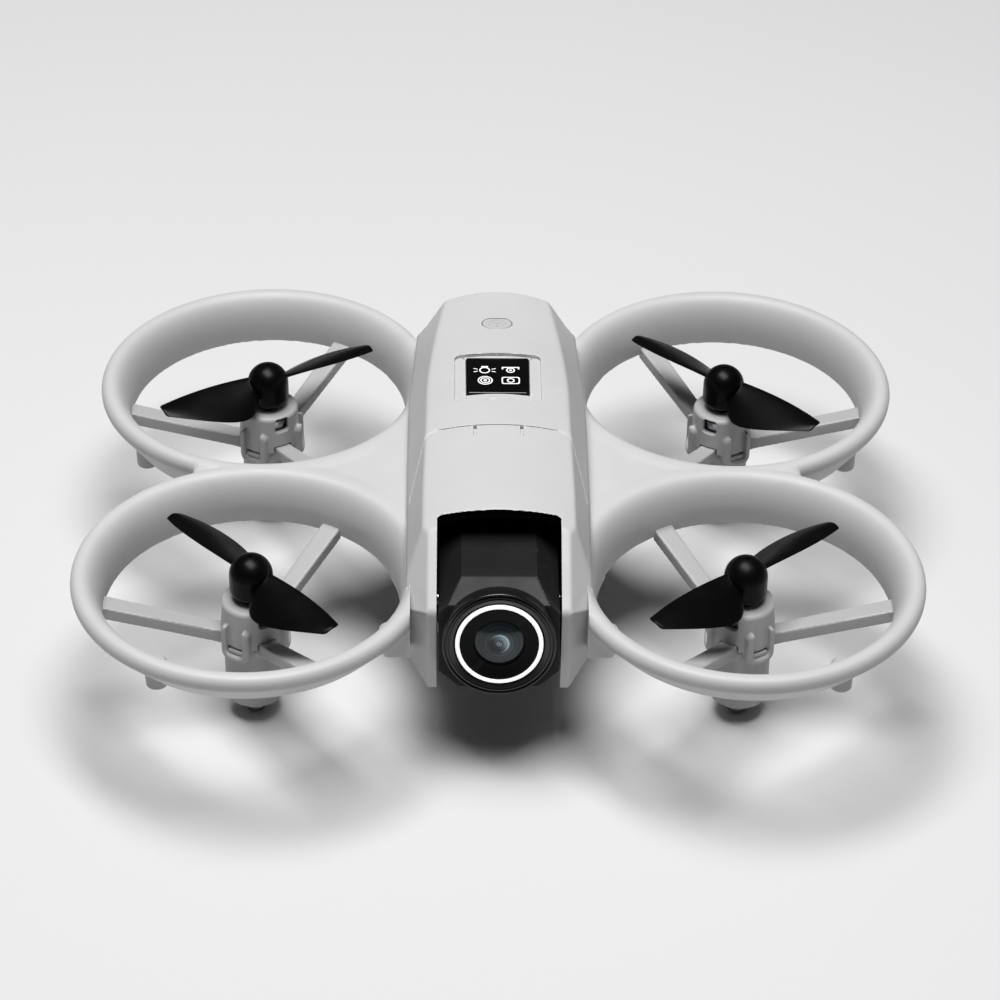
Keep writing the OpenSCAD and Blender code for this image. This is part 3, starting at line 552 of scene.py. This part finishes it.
def spun(profile, n=96, ends=True):
    """A profile of (radius, height) turned about z."""
    a = np.linspace(0, 2 * math.pi, n, endpoint=False)
    return loft([np.stack([r * np.cos(a), r * np.sin(a), np.full(n, h)], 1) for r, h in profile], ends)


def rounded_loop(width, r, z, cy, n=8):
    """A square with rounded corners at height z, about x = 0 and y = cy."""
    out = []
    reach = width / 2 - r
    for k, (sx, sy) in enumerate(((1, 1), (-1, 1), (-1, -1), (1, -1))):
        for t in np.linspace(k * 90, k * 90 + 90, n):
            out.append((sx * reach + r * math.cos(math.radians(t)),
                        cy + sy * reach + r * math.sin(math.radians(t)), z))
    return np.array(out)


def arc(cx, cz, r, a0, a1, n):
    """Points of an arc from a0 to a1 degrees."""
    angles = np.radians(np.linspace(a0, a1, n))
    return [(cx + r * math.cos(a), cz + r * math.sin(a)) for a in angles]


# ---------------------------------------------------------------- propellers
def blade_edges(t):
    """Leading and trailing edge, from the blade's own line, at t from root to tip."""
    front = 2.14 + 1.76 * t - 1.1 * t * t - 1.08 * t ** 3
    rear = 2.26 + 6.05 * (1 - math.exp(-t / 0.13)) * (1 - 0.27 * t - 0.84 * t * t)
    return front, rear


def blade_station(t, shrink=1.0):
    """The blade's section at t, cambered and twisted."""
    front, rear = blade_edges(t)
    pitch = math.radians(34 - 25.5 * t)
    c = 0.5 * (front - rear)
    half = 0.5 * (front + rear) * shrink
    thick = (0.95 - 0.45 * t) * (0.3 + 0.7 * shrink)
    out = []
    for a in np.linspace(0, 2 * math.pi, 30, endpoint=False):
        u = math.cos(a)
        q = c + half * u
        w = 0.3 * (1 - u * u) + 0.5 * thick * math.sin(a) * (0.5 + 0.5 * abs(math.sin(a))) * (1 + 0.35 * u)
        out.append((3 + t * 20.1, q * math.cos(pitch) - w * math.sin(pitch),
                    -0.46 + 0.66 * t + q * math.sin(pitch) + w * math.cos(pitch)))
    return np.array(out)


def blade_mesh():
    """The blade, with its last sections drawn in to round the tip."""
    loops = [blade_station(t) for t in np.linspace(0, 0.985, 44)]
    for t, shrink in ((0.992, 0.93), (0.997, 0.84), (1.0, 0.7)):
        loops.append(blade_station(t, shrink))
    return loft(loops)


def root_line():
    """A fine raised line on the spinner along the blade's root."""
    loops = []
    for y in np.linspace(-2.5, 2.3, 22):
        q = y / 0.83
        z = -0.46 + q * math.sin(math.radians(34)) + 0.62
        rho = math.sqrt(max(SPIN_R ** 2 - max(z + 0.45, 0) ** 2, 0.1))
        x = math.sqrt(max(rho * rho - y * y, 0.05))
        n = np.array([x, y, max(z + 0.45, 0)]) / SPIN_R
        side = np.cross(n, [0, 0.8, 0.6])
        side /= np.linalg.norm(side)
        fade = 0.13 * math.sqrt(max(1 - (2 * (y + 2.5) / 4.8 - 1) ** 2, 0.02))
        loops.append(np.array([np.array([x, y, z]) + fade * (math.cos(a) * n + math.sin(a) * side)
                               for a in np.linspace(0, 2 * math.pi, 8, endpoint=False)]))
    return loft(loops)


def build_propellers():
    dome = [(0.02, 3.15), (0.22, 3.15), (0.3, 3.3), (0.36, SPIN_R - 0.46)]
    dome += arc(0, -0.45, SPIN_R, 83, 0, 26) + [(SPIN_R, -1.6), (SPIN_R, -3.0)]
    dome += arc(SPIN_R - 1.6, -3.4, 1.6, 0, -80, 8) + [(2.0, -5.0), (1.55, -5.3), (1.5, -6.4), (0.8, -6.4)]
    hub_mesh = spun(dome[::-1], 72)
    blade = blade_mesh()
    line = root_line()
    parts = [hub_mesh]
    for sign in (1, -1):
        for v, f in (blade, line):
            w = v.copy()
            w[:, :2] *= sign
            parts.append((w, f))
    verts, faces = joined(*parts)
    for key, (sx, sy) in CORNERS.items():
        head, turn = HEAD[key]
        v = verts.copy()
        v[:, 1] *= turn
        v[:, :2] = np.stack(turned(v[:, 0], v[:, 1], -head), 1)
        v[:, 0] *= -sx
        flip = turn * -sx < 0
        f = [q[::-1] for q in faces] if flip else faces
        make(f"propeller_body_{key}", v, f, f"rotor_{key}", "black_plastic", f"propeller_{key}", 40,
             (sx * HUB_X, sy * HUB_Y, DECK))


# ---------------------------------------------------------------- feet, pegs, display and key
def placed(mesh, x, y, z):
    v, f = mesh
    return v + np.array([x, y, z]), f


def flipped(mesh):
    v, f = mesh
    return v, [q[::-1] for q in f]


def build_small():
    stem = [(1.2, 3.3), (1.2, 1.35), (1.8, 1.3), (1.8, 0.45)]
    pad = flipped(spun(stem + arc(1.35, 0.45, 0.45, 0, -90, 6) + [(0.3, 0.0)], 48))
    feet = [placed(pad, sx * HUB_X, sy * HUB_Y, -DECK) for sx, sy in CORNERS.values()]
    make("foot_pads_body", *joined(*feet), "airframe", "rubber", "foot_pads")
    spots = ((HUB_X + 15.8, -HUB_Y - 22.6, -7.9, 2.15),
             (HUB_X + 23.2, HUB_Y - 15.5, -9.5, 2.15),
             (19.6, -41.6, -10.1, 2.2))
    pegs = []
    for s in (-1, 1):
        for x, y, z, r in spots:
            foot = [(0.4, 0.0)] + arc(r - 0.5, 0.35, 0.35, -90, 0, 6)
            pegs.append(placed(spun(foot + [(r, 5.0), (r - 0.6, 5.5)], 48), s * x, y, z))
    make("guard_pegs_body", *joined(*pegs), "airframe", "frame_plastic", "guard_pegs")


def build_display():
    """The bezel as a frame in its seat, and the glass in the bezel."""
    rims = [(GLASS_W - 1.6, -1.8), (GLASS_W - 1.6, -0.3), (GLASS_W - 0.5, -0.25), (GLASS_W - 0.45, 0.4),
            (GLASS_W - 0.4, 0.44), (GLASS_W - 0.1, 0.44), (GLASS_W, 0.34), (GLASS_W, -1.8)]
    loops = [rounded_loop(w, 0.5, GLASS_Z + z, GLASS_Y) for w, z in rims]
    frame_mesh = flipped(loft(loops + [loops[0]], ends=False))
    make("display_bezel_body", *frame_mesh, "airframe", "black_plastic", "display_bezel")
    slab = [(0, 0.0), (0.12, 0.12), (0.0, 0.33), (0.12, 0.42), (0.3, GLASS_TOP)]
    loops = [rounded_loop(GLASS_W - 0.5 - 2 * inset, 0.4, GLASS_Z + z, GLASS_Y) for inset, z in slab]
    make("display_glass_body", *loft(loops), "airframe", "optic_glass", "display_glass")


def key_field(x, y, z):
    """The power key: a dished oval with a generic raised mark, its flange and its stem."""
    oval = key_oval(x, y, 0)
    top = ROOF_H + 0.05 - 0.1 * np.exp(-((x / 2.4) ** 2 + ((y - KEY_Y) / 1.4) ** 2))
    body = soft_max(oval, np.maximum(z - top, ROOF_H - 1.4 - z), 0.3)
    flange = np.maximum(key_oval(x, y, 0.75), np.abs(z - ROOF_H + 1.95) - 0.45)
    stem = np.maximum(np.hypot(x, y - KEY_Y) - 0.9, np.abs(z - ROOF_H + 3) - 2)
    icon = np.hypot(x, y - KEY_Y) - 0.3
    for degrees in (30, 150, 270):
        u, v = turned(x, y - KEY_Y, degrees)
        icon = np.minimum(icon, np.hypot((u - 0.72) / 1.25, v) - 0.26)
    icon = np.minimum(icon, np.abs(np.hypot(x / 1.45, y - KEY_Y) - 1.15) - 0.09)
    icon = soft_max(icon, np.maximum(z - top - 0.09, top - 0.3 - z), 0.06)
    return np.minimum(np.minimum(soft_min(body, icon, 0.05), flange), stem)


def pack_field(x, y, z):
    """The battery pack, with a grip, four charge dots and ribs on its back."""
    w = z - PACK_Z
    solid = block(x, y, w, (0, TAIL_Y - 21.8, PACK_H / 2), (PACK_X, 22.2, PACK_H / 2), 1.0)
    grip = block(x, y, w, (0, TAIL_Y + 0.3, 4.6), (10, 0.65, 0.6), 0.3)
    solid = soft_min(solid, grip, 0.4)
    side = block(np.abs(x), y, w, (PACK_X, TAIL_Y - 3.5, PACK_H / 2), (2.4, 4.7, 3.5), 0.6)
    solid = soft_max(solid, -side, 0.3)
    socket = block(x, y, w, (0, TAIL_Y - 44, 11.5), (6, 1.1, 1.5), 0.3)
    solid = soft_max(solid, -socket, 0.2)
    for x0 in (-4.5, -1.5, 1.5, 4.5):
        dot = np.hypot(x - x0, w - 13.2) - 0.45 + np.maximum(TAIL_Y + 0.1 - y, 0) * 3
        solid = soft_max(solid, -dot, 0.1)
    lines = np.abs(np.mod(w, 1.4) - 0.7) - 0.25
    panel = np.maximum(np.maximum(np.abs(x) - 8, np.abs(w - 9) - 2.6), TAIL_Y + 0.15 - y)
    return soft_max(solid, -np.maximum(lines, panel), 0.12)


def latch_field(s):
    """A ribbed spring tab on side s of the pack."""
    def field(x, y, z):
        w = z - PACK_Z
        solid = block(x, y, w, (s * 12.2, TAIL_Y - 3.7, PACK_H / 2), (0.62, 4.3, 3.3), 0.35)
        ribs = np.abs(np.mod(y, 1.3) - 0.65) - 0.3
        return soft_max(solid, -np.maximum(ribs, 0.35 - np.abs(x - s * 12.2)), 0.12)
    return field


def build_keys():
    v, f = contour(key_field, (-3.8, KEY_Y - 2.6, ROOF_H - 5.1), (3.8, KEY_Y + 2.6, ROOF_H + 0.3), 0.11)
    make("power_button_body", v, f, "power_key", "shell", "power_button")
    v, f = contour(pack_field, (-13.2, -1.4, PACK_Z - 0.2), (13.2, 44.4, PACK_Z + 17.2), 0.4)
    make("battery_pack_body", v, f, "battery", "frame_plastic", "battery_pack")
    for s, key in ((-1, "l"), (1, "r")):
        lo = (min(s * 11.4, s * 13), TAIL_Y - 8.2, PACK_Z + 5)
        v, f = contour(latch_field(s), lo, (lo[0] + 1.6, TAIL_Y + 0.8, PACK_Z + 12), 0.12)
        make(f"battery_latch_body_{key}", v, f, f"latch_{key}", "rubber", f"battery_latch_{key}")


# ---------------------------------------------------------------- camera
def camera_place(verts):
    """From camera axes (lens along -y, pivot at the origin) to the frame."""
    turn = np.array(Matrix.Rotation(-CAM_TILT, 3, "X"))
    return np.asarray(verts, float) @ turn.T + np.array(PIVOT)


def camera_make(name, mesh, slot, node, sharp=32):
    return make(name, camera_place(mesh[0]), mesh[1], "camera", slot, node, sharp, (0, 0, 0))


def forward(mesh):
    """A mesh turned about z, laid so that its axis points out of the lens."""
    v, f = mesh
    return np.stack([v[:, 0], -v[:, 2], v[:, 1]], 1), f


def housing_field(x, y, z):
    """The eight-sided housing: its top rises to the rear, and a facet slopes to the barrel."""
    ax = np.abs(x)
    rise = 0.176 * (y + 8.4)
    top = np.maximum(z - rise - 9.6, half_plane(ax, z - rise, (6.9, 9.6), (11, 5.6)))
    low = np.maximum(-10.5 - z, half_plane(ax, z, (11, -7.2), (7.2, -10.5)))
    eight = soft_max(np.maximum(top, low), ax - 11, 0.12)
    facet = -0.54 * (y + 9.3) + 0.84 * (z - 9.44)
    solid = soft_max(soft_max(eight, facet, 0.12), -14.45 - y, 0.25)
    solid = soft_max(solid, np.where((y > 0) & (z < 0), np.hypot(y, z) - 9.9, y - 8.2), 0.2)
    rho = np.hypot(x, z)
    solid = soft_max(solid, -np.maximum(rho - 8.2, y + 5), 0.15)
    pins = np.maximum(np.hypot(y, z) - 1.24, 9 - ax)
    return np.maximum(solid, -pins)


def yoke_field(x, y, z):
    """The camera's two arms, the plate behind it, and a lining under the roof."""
    ax = np.abs(x)
    within = ax - BAY_X - 1
    ahead_of_bay = y - BAY_Y + SEAM_GAP
    arms = np.maximum(np.maximum(BAY_X - ax, within), np.maximum(fuselage(x, y, z, 0.9), -16.2 - z))
    arms = np.maximum(arms, ahead_of_bay)
    back = np.abs(y - BAY_Y - SEAM_GAP - 0.22 * np.clip(z + 3, -0.5, 7)) - 0.3
    back = np.maximum(back, np.maximum(-12.6 - z, np.maximum(within, z - 9.4)))
    back = np.maximum(back, fuselage(x, y, z, WALL + 0.15))
    lining = np.abs(fuselage(x, y, z, WALL + 0.5)) - 0.35
    lining = np.maximum(lining, np.maximum(within, ahead_of_bay))
    lining = np.maximum(lining, np.maximum(4 - z, -27.0 - y))
    solid = np.minimum(np.minimum(arms, back), lining)
    pivot = np.hypot(y - PIVOT[1], z - PIVOT[2] + DECK) - 1.3
    solid = np.maximum(solid, -(pivot + np.where(ax > BAY_X - 1, 0, 9)))
    return np.maximum(solid, -block(x, y, z, (0, BAY_Y, -11.2), (2.2, 3, 0.8), 0.2))


def lens_mesh():
    """The front element, with a painted reflection in its tones: rings and glints of light painted into its
    colour for coated glass seen through the dome.
    """
    n, rows = 144, 44
    loops, tone = [], []
    a = np.linspace(0, 2 * math.pi, n, endpoint=False)
    for k in range(rows):
        q = 1 - k / (rows - 0.6)
        r = LENS_R * q
        h = FRONT_Z - 0.25 - 0.75 * q ** 2
        loops.append(np.stack([r * np.cos(a), r * np.sin(a), np.full(n, h)], 1))
        # The tone is a painted reflection: rings of light by radius, and painted glints that are brighter
        # on one side.
        reflection_band = 1 + 0.35 * math.sin(q * 38) + 0.25 * math.sin(q * 71 + 1)
        base = np.interp(q, *zip(*LENS_REFLECTION_RINGS))
        painted_glint = 1 + 2.2 * np.cos(a - 0.6) * np.exp(-((q - 0.3) / 0.12) ** 2)
        painted_glint += 0.5 * np.cos(a + 0.9) * np.exp(-((q - 0.6) / 0.2) ** 2) + 0.2 * np.cos(2 * a + 1)
        tone.append(np.clip(base * reflection_band * painted_glint, 0.01, 1))
    v, f = loft(loops, True)
    t = np.concatenate([np.concatenate(tone), [0.1], [0.2]])
    return (v, f), t


def build_camera():
    v, f = contour(housing_field, (-11.1, -14.7, -10.9), (11.1, 10.2, 13.2), 0.3)
    camera_make("camera_housing_body", (v, f), "black_plastic", "camera_housing")
    v, f = contour(yoke_field, (-12.5, -42, -16.2), (12.5, -19.3, 12.5), 0.3)
    make("camera_yoke_body", v, f, "airframe", "black_plastic", "camera_yoke")
    barrel = [(5.3, 6.0), (8.15, 6.0), (8.15, 14.4), (10.0, 14.5), (10.3, 14.8), (10.3, 17.55)]
    barrel += arc(10.02, 17.6, 0.28, 0, 90, 7) + [(9.92, 17.8), (9.8, 17.4), (9.62, 17.4), (9.56, 17.75)]
    barrel += [(9.3, 17.8), (9.24, 17.55), (9.1, 17.55), (9.04, 17.8), (8.3, 17.5)]
    barrel += [(8.22, 17.2), (8.05, 17.1), (7.97, 17.35), (5.3, 17.1), (5.3, 6.0)]
    camera_make("lens_barrel_body", forward(spun(barrel, 128, False)), "black_plastic", "lens_barrel", 24)
    inner = HALO_R - 0.73
    halo = [(inner, 17.35), (HALO_R, 17.35), (HALO_R, 17.7)]
    halo += arc((inner + HALO_R) / 2, 17.6, 0.36, 8, 172, 14) + [(inner, 17.7), (inner, 17.35)]
    halo = [(r, min(h, 17.95)) for r, h in halo]
    camera_make("light_ring_body", forward(spun(halo, 144, False)), "white_lamp", "light_ring", 40)
    hood = [(5.2, 16.2), (7.16, 16.2), (7.16, 17.72), (7.08, FRONT_Z)]
    for i, r in enumerate(np.linspace(6.95, 4.95, 20)):
        hood.append((r, FRONT_Z - 0.2 * (6.9 - r) + (0.03 if i % 2 else 0)))
    hood += [(4.75, 17.4), (4.66, 17.0), (4.66, 16.2), (5.2, 16.2)]
    camera_make("lens_hood_body", forward(spun(hood, 128, False)), "black_plastic", "lens_hood", 40)
    mesh, tone = lens_mesh()
    lens = camera_make("lens_glass_body", forward(mesh), "optic_glass", "lens_glass", 60)
    # The tone attribute carries the lens's painted reflection.
    layer = lens.data.attributes.new("tone", "FLOAT", "POINT")
    layer.data.foreach_set("value", tone.astype(np.float32))


# ---------------------------------------------------------------- materials
class Surface:
    """A Principled material with its pattern nodes, laid out in the piece's own space."""

    def __init__(self, name, rough, metallic=0.0, specular=0.5, coat=0.0):
        self.mat = bpy.data.materials.new(name)
        self.mat.use_nodes = True
        self.tree = self.mat.node_tree
        self.bsdf = self.tree.nodes["Principled BSDF"]
        self.bsdf.inputs["Roughness"].default_value = rough
        self.bsdf.inputs["Metallic"].default_value = metallic
        self.bsdf.inputs["Specular IOR Level"].default_value = specular
        self.bsdf.inputs["Coat Weight"].default_value = coat
        self.space = self.add("ShaderNodeTexCoord").outputs["Object"]
        self.height = None

    def add(self, kind, **values):
        node = self.tree.nodes.new(kind)
        for key, value in values.items():
            if hasattr(node, key):
                setattr(node, key, value)
            else:
                node.inputs[key.replace("_", " ")].default_value = value
        return node

    def link(self, out, socket):
        self.tree.links.new(out, socket)

    def noise(self, scale, detail=3.0, rough=0.55):
        node = self.add("ShaderNodeTexNoise", Scale=scale, Detail=detail, Roughness=rough)
        self.link(self.space, node.inputs["Vector"])
        return node.outputs["Fac"]

    def spread(self, out, lo, hi, from_lo=0.3, from_hi=0.7):
        node = self.add("ShaderNodeMapRange")
        limits = {"From Min": from_lo, "From Max": from_hi, "To Min": lo, "To Max": hi}
        for key, value in limits.items():
            node.inputs[key].default_value = value
        self.link(out, node.inputs["Value"])
        return node.outputs["Result"]

    def blend(self, fac, a, b, kind="MIX"):
        node = self.add("ShaderNodeMixRGB", blend_type=kind)
        for key, value in (("Fac", fac), ("Color1", a), ("Color2", b)):
            if isinstance(value, bpy.types.NodeSocket):
                self.link(value, node.inputs[key])
            else:
                node.inputs[key].default_value = value if key == "Fac" else (*value, 1)
        return node.outputs["Color"]

    def bump(self, out, distance, strength=1.0):
        node = self.add("ShaderNodeBump", Distance=distance, Strength=strength)
        self.link(out, node.inputs["Height"])
        if self.height is not None:
            self.link(self.height, node.inputs["Normal"])
        self.height = node.outputs["Normal"]
        self.link(self.height, self.bsdf.inputs["Normal"])

    def wear(self):
        """High along exposed edges."""
        return self.spread(self.add("ShaderNodeNewGeometry").outputs["Pointiness"], 0, 1, 0.53, 0.62)


def plastic(name, colour, rough, grain=0.018, worn=0.5, shift=0.04, specular=0.45):
    """Moulded plastic: eroded grain, faint flow clouds, patchy gloss and rubbed edges."""
    s = Surface(name, rough, specular=specular)
    light = tuple(min(1, c * (1 + shift)) for c in colour)
    dark = tuple(c * (1 - shift) for c in colour)
    base = s.blend(s.spread(s.noise(28, 4), 0, 1), dark, light)
    speck = s.blend(s.spread(s.noise(5200, 2), 0, 0.5, 0.42, 0.7), base, dark)
    rub = s.blend(s.wear(), (0, 0, 0), (worn, worn, worn))
    edge = tuple(min(1, c * 1.25 + 0.03) for c in colour)
    s.link(s.blend(rub, speck, edge), s.bsdf.inputs["Base Color"])
    s.link(s.spread(s.noise(160, 3), rough - 0.05, rough + 0.06), s.bsdf.inputs["Roughness"])
    s.bump(s.noise(2600, 3, 0.6), grain * MM, 0.6)
    s.bump(s.noise(90, 2), 0.05 * MM, 0.25)
    return s.mat


def metal(name, colour, rough, streak=1400):
    """Turned metal: fine streaks along the piece's height, and dull clouds."""
    s = Surface(name, rough, metallic=1.0)
    stretch = s.add("ShaderNodeMapping")
    stretch.inputs["Scale"].default_value = (1, 1, 14)
    s.link(s.space, stretch.inputs["Vector"])
    s.space = stretch.outputs["Vector"]
    dull = tuple(c * 0.8 for c in colour)
    s.link(s.blend(s.spread(s.noise(60, 4), 0, 1), dull, colour), s.bsdf.inputs["Base Color"])
    s.link(s.spread(s.noise(streak, 3), rough - 0.07, rough + 0.1), s.bsdf.inputs["Roughness"])
    s.bump(s.noise(streak, 2), 0.006 * MM, 0.5)
    return s.mat


def winding(name):
    """Lacquered copper wire in turns."""
    s = Surface(name, 0.32, metallic=0.9)
    wire = s.add("ShaderNodeTexWave", Scale=900.0, Distortion=0.6)
    wire.bands_direction = "Z"
    s.link(s.space, wire.inputs["Vector"])
    tone = s.blend(wire.outputs["Fac"], (0.28, 0.1, 0.035), (0.82, 0.42, 0.2))
    s.link(s.blend(s.spread(s.noise(300), 0, 0.4), tone, (0.9, 0.62, 0.3)), s.bsdf.inputs["Base Color"])
    s.link(s.spread(s.noise(900), 0.25, 0.42), s.bsdf.inputs["Roughness"])
    s.bump(wire.outputs["Fac"], 0.06 * MM, 0.8)
    return s.mat


def board(name):
    """Green solder mask over tracks."""
    s = Surface(name, 0.35, specular=0.5)
    cell = s.add("ShaderNodeTexVoronoi", feature="DISTANCE_TO_EDGE", Scale=420.0)
    s.link(s.space, cell.inputs["Vector"])
    track = s.spread(cell.outputs["Distance"], 1, 0, 0.02, 0.06)
    tone = s.blend(s.spread(s.noise(120), 0, 1), (0.012, 0.075, 0.035), (0.02, 0.12, 0.055))
    s.link(s.blend(track, tone, (0.05, 0.22, 0.09)), s.bsdf.inputs["Base Color"])
    s.link(s.spread(s.noise(700), 0.28, 0.45), s.bsdf.inputs["Roughness"])
    s.bump(track, 0.03 * MM, 0.6)
    return s.mat


def lamp(name, colour, glow):
    """Opal plastic lit from behind."""
    s = Surface(name, 0.3, specular=0.5)
    dull = tuple(c * 0.94 for c in colour)
    s.link(s.blend(s.spread(s.noise(900), 0, 1), dull, colour), s.bsdf.inputs["Base Color"])
    s.link(s.spread(s.noise(400), 0.26, 0.36), s.bsdf.inputs["Roughness"])
    s.bsdf.inputs["Emission Color"].default_value = (*colour, 1)
    s.bsdf.inputs["Emission Strength"].default_value = glow
    s.bump(s.noise(2000), 0.01 * MM, 0.4)
    return s.mat


def glass(name, dark, light, rough=0.06, tone=False):
    """Coated glass over a black mount; the lens carries a painted reflection, its rings and glints held as
    tones.
    """
    s = Surface(name, rough, specular=0.3, coat=0.25)
    s.bsdf.inputs["Coat Roughness"].default_value = 0.03
    if tone:
        # For the lens, the tones map to a painted reflection, from near black to a pale blue painted
        # highlight.
        seen = s.add("ShaderNodeAttribute", attribute_name="tone").outputs["Fac"]
        ramp = s.add("ShaderNodeValToRGB")
        s.link(seen, ramp.inputs["Fac"])
        stops = ramp.color_ramp.elements
        for at, shade in ((0.0, dark), (0.3, tuple(d + 0.14 * c for d, c in zip(dark, light)))):
            stop = stops[0] if at == 0.0 else stops.new(at)
            stop.position, stop.color = at, (*shade, 1)
        stops[-1].color = (*light, 1)
        base = ramp.outputs["Color"]
    else:
        base = s.blend(s.spread(s.noise(90), 0, 1), dark, light)
    s.link(base, s.bsdf.inputs["Base Color"])
    s.link(s.spread(s.noise(250), rough - 0.02, rough + 0.04), s.bsdf.inputs["Roughness"])
    s.bump(s.noise(500), 0.004 * MM, 0.3)
    return s.mat


def dress():
    """Give every piece and every remaining CAD node its material, by node and then by slot."""
    mats = {
        "shell": plastic("shell_matte", (0.46, 0.46, 0.464), 0.5),
        "frame_plastic": plastic("frame_matte", (0.34, 0.34, 0.344), 0.5, 0.02),
        "black_plastic": plastic("black_satin", (0.002, 0.002, 0.0022), 0.3, 0.01, 0.15, 0.15, 0.1),
        "rubber": plastic("soft_rubber", (0.14, 0.14, 0.145), 0.75, 0.03, 0.3, 0.12, 0.3),
        "steel": metal("turned_steel", (0.62, 0.63, 0.66), 0.28),
        "winding": winding("copper_wire"),
        "board": board("circuit_board"),
        "optic_glass": glass("dark_glass", (0.001, 0.001, 0.0012), (0.0025, 0.0025, 0.003)),
        "white_lamp": lamp("opal_lamp", (0.9, 0.9, 0.91), 0.55),
    }
    pick = {
        "power_button": plastic("key_matte", (0.4, 0.4, 0.404), 0.5),
        # The lens colour is a painted reflection: blue-grey rings and glints over near black.
        "lens_glass": glass("lens_coating", (0.004, 0.005, 0.006), (0.5, 0.68, 0.76), 0.05, True),
        "camera_housing": plastic("housing_satin", (0.012, 0.012, 0.0125), 0.42, 0.01, 0.3, 0.12, 0.14),
        "lens_barrel": plastic("barrel_satin", (0.006, 0.006, 0.0065), 0.25, 0.006, 0.6, 0.15, 0.5),
        "display_icons": lamp("icon_ink", (0.8, 0.8, 0.8), 0.25),
    }
    for obj in bpy.data.objects:
        if obj.type != "MESH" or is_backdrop(obj):
            continue
        if obj.name in NODES:
            node = obj.name
        else:
            node = (list(obj.get("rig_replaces", [])) or [""])[0]
        slot = SLOT.get(node) or obj.get("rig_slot")
        if not slot:
            continue
        mat = pick.get(node, mats[slot])
        obj.data.materials.clear()
        obj.data.materials.append(mat)


# ---------------------------------------------------------------- floor, light and camera
def pale_floor():
    mesh = bpy.data.meshes.new("floor")
    s = 1.6
    mesh.from_pydata([(-s, -s, 0), (s, -s, 0), (s, s, 0), (-s, s, 0)], [], [(0, 1, 2, 3)])
    floor = bpy.data.objects.new("floor", mesh)
    floor.location.z = -0.0002
    bpy.context.collection.objects.link(floor)
    look = Surface("floor_paper", 0.85, specular=0.2)
    tone = look.blend(look.noise(3, 2), (0.56, 0.56, 0.56), (0.59, 0.59, 0.59))
    look.link(tone, look.bsdf.inputs["Base Color"])
    mesh.materials.append(look.mat)
    floor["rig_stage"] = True


def area(name, at, toward, size, power):
    data = bpy.data.lights.new(name, "AREA")
    data.shape = "RECTANGLE"
    data.size, data.size_y = size
    data.energy = power
    obj = bpy.data.objects.new(name, data)
    bpy.context.collection.objects.link(obj)
    aim = (Vector(toward) - Vector(at)).to_track_quat("-Z", "Y")
    obj.matrix_world = Matrix.Translation(at) @ aim.to_matrix().to_4x4()


def light_and_camera():
    scene = bpy.context.scene
    world = bpy.data.worlds.new("studio")
    scene.world = world
    world.use_nodes = True
    sky = world.node_tree.nodes["Background"]
    sky.inputs["Color"].default_value = (1, 1, 1, 1)
    sky.inputs["Strength"].default_value = 0.04
    area("key_light", (-0.05, -0.04, 0.95), (0, 0, 0.02), (0.7, 0.5), 14.5)
    scene.view_settings.view_transform = "Standard"
    data = bpy.data.cameras.new("camera")
    cam = bpy.data.objects.new("camera", data)
    bpy.context.collection.objects.link(cam)
    data.sensor_width = 36.0
    data.lens = 115.79
    data.shift_x, data.shift_y = 0.0026, -0.0267
    distance, rise, yaw, roll = 0.6164, math.radians(35.651), 0.016, 0.014
    target = Vector((0, 0, DECK * MM))
    back = distance * math.cos(rise)
    at = target + Vector((-back * math.sin(yaw), -back * math.cos(yaw), distance * math.sin(rise)))
    aim = (target - at).to_track_quat("-Z", "Y").to_matrix().to_4x4()
    cam.matrix_world = Matrix.Translation(at) @ aim @ Matrix.Rotation(roll, 4, "Z")
    scene.camera = cam


build_airframe()
build_motors()
build_propellers()
build_small()
build_display()
build_keys()
build_camera()
pale_floor()
light_and_camera()
dress()
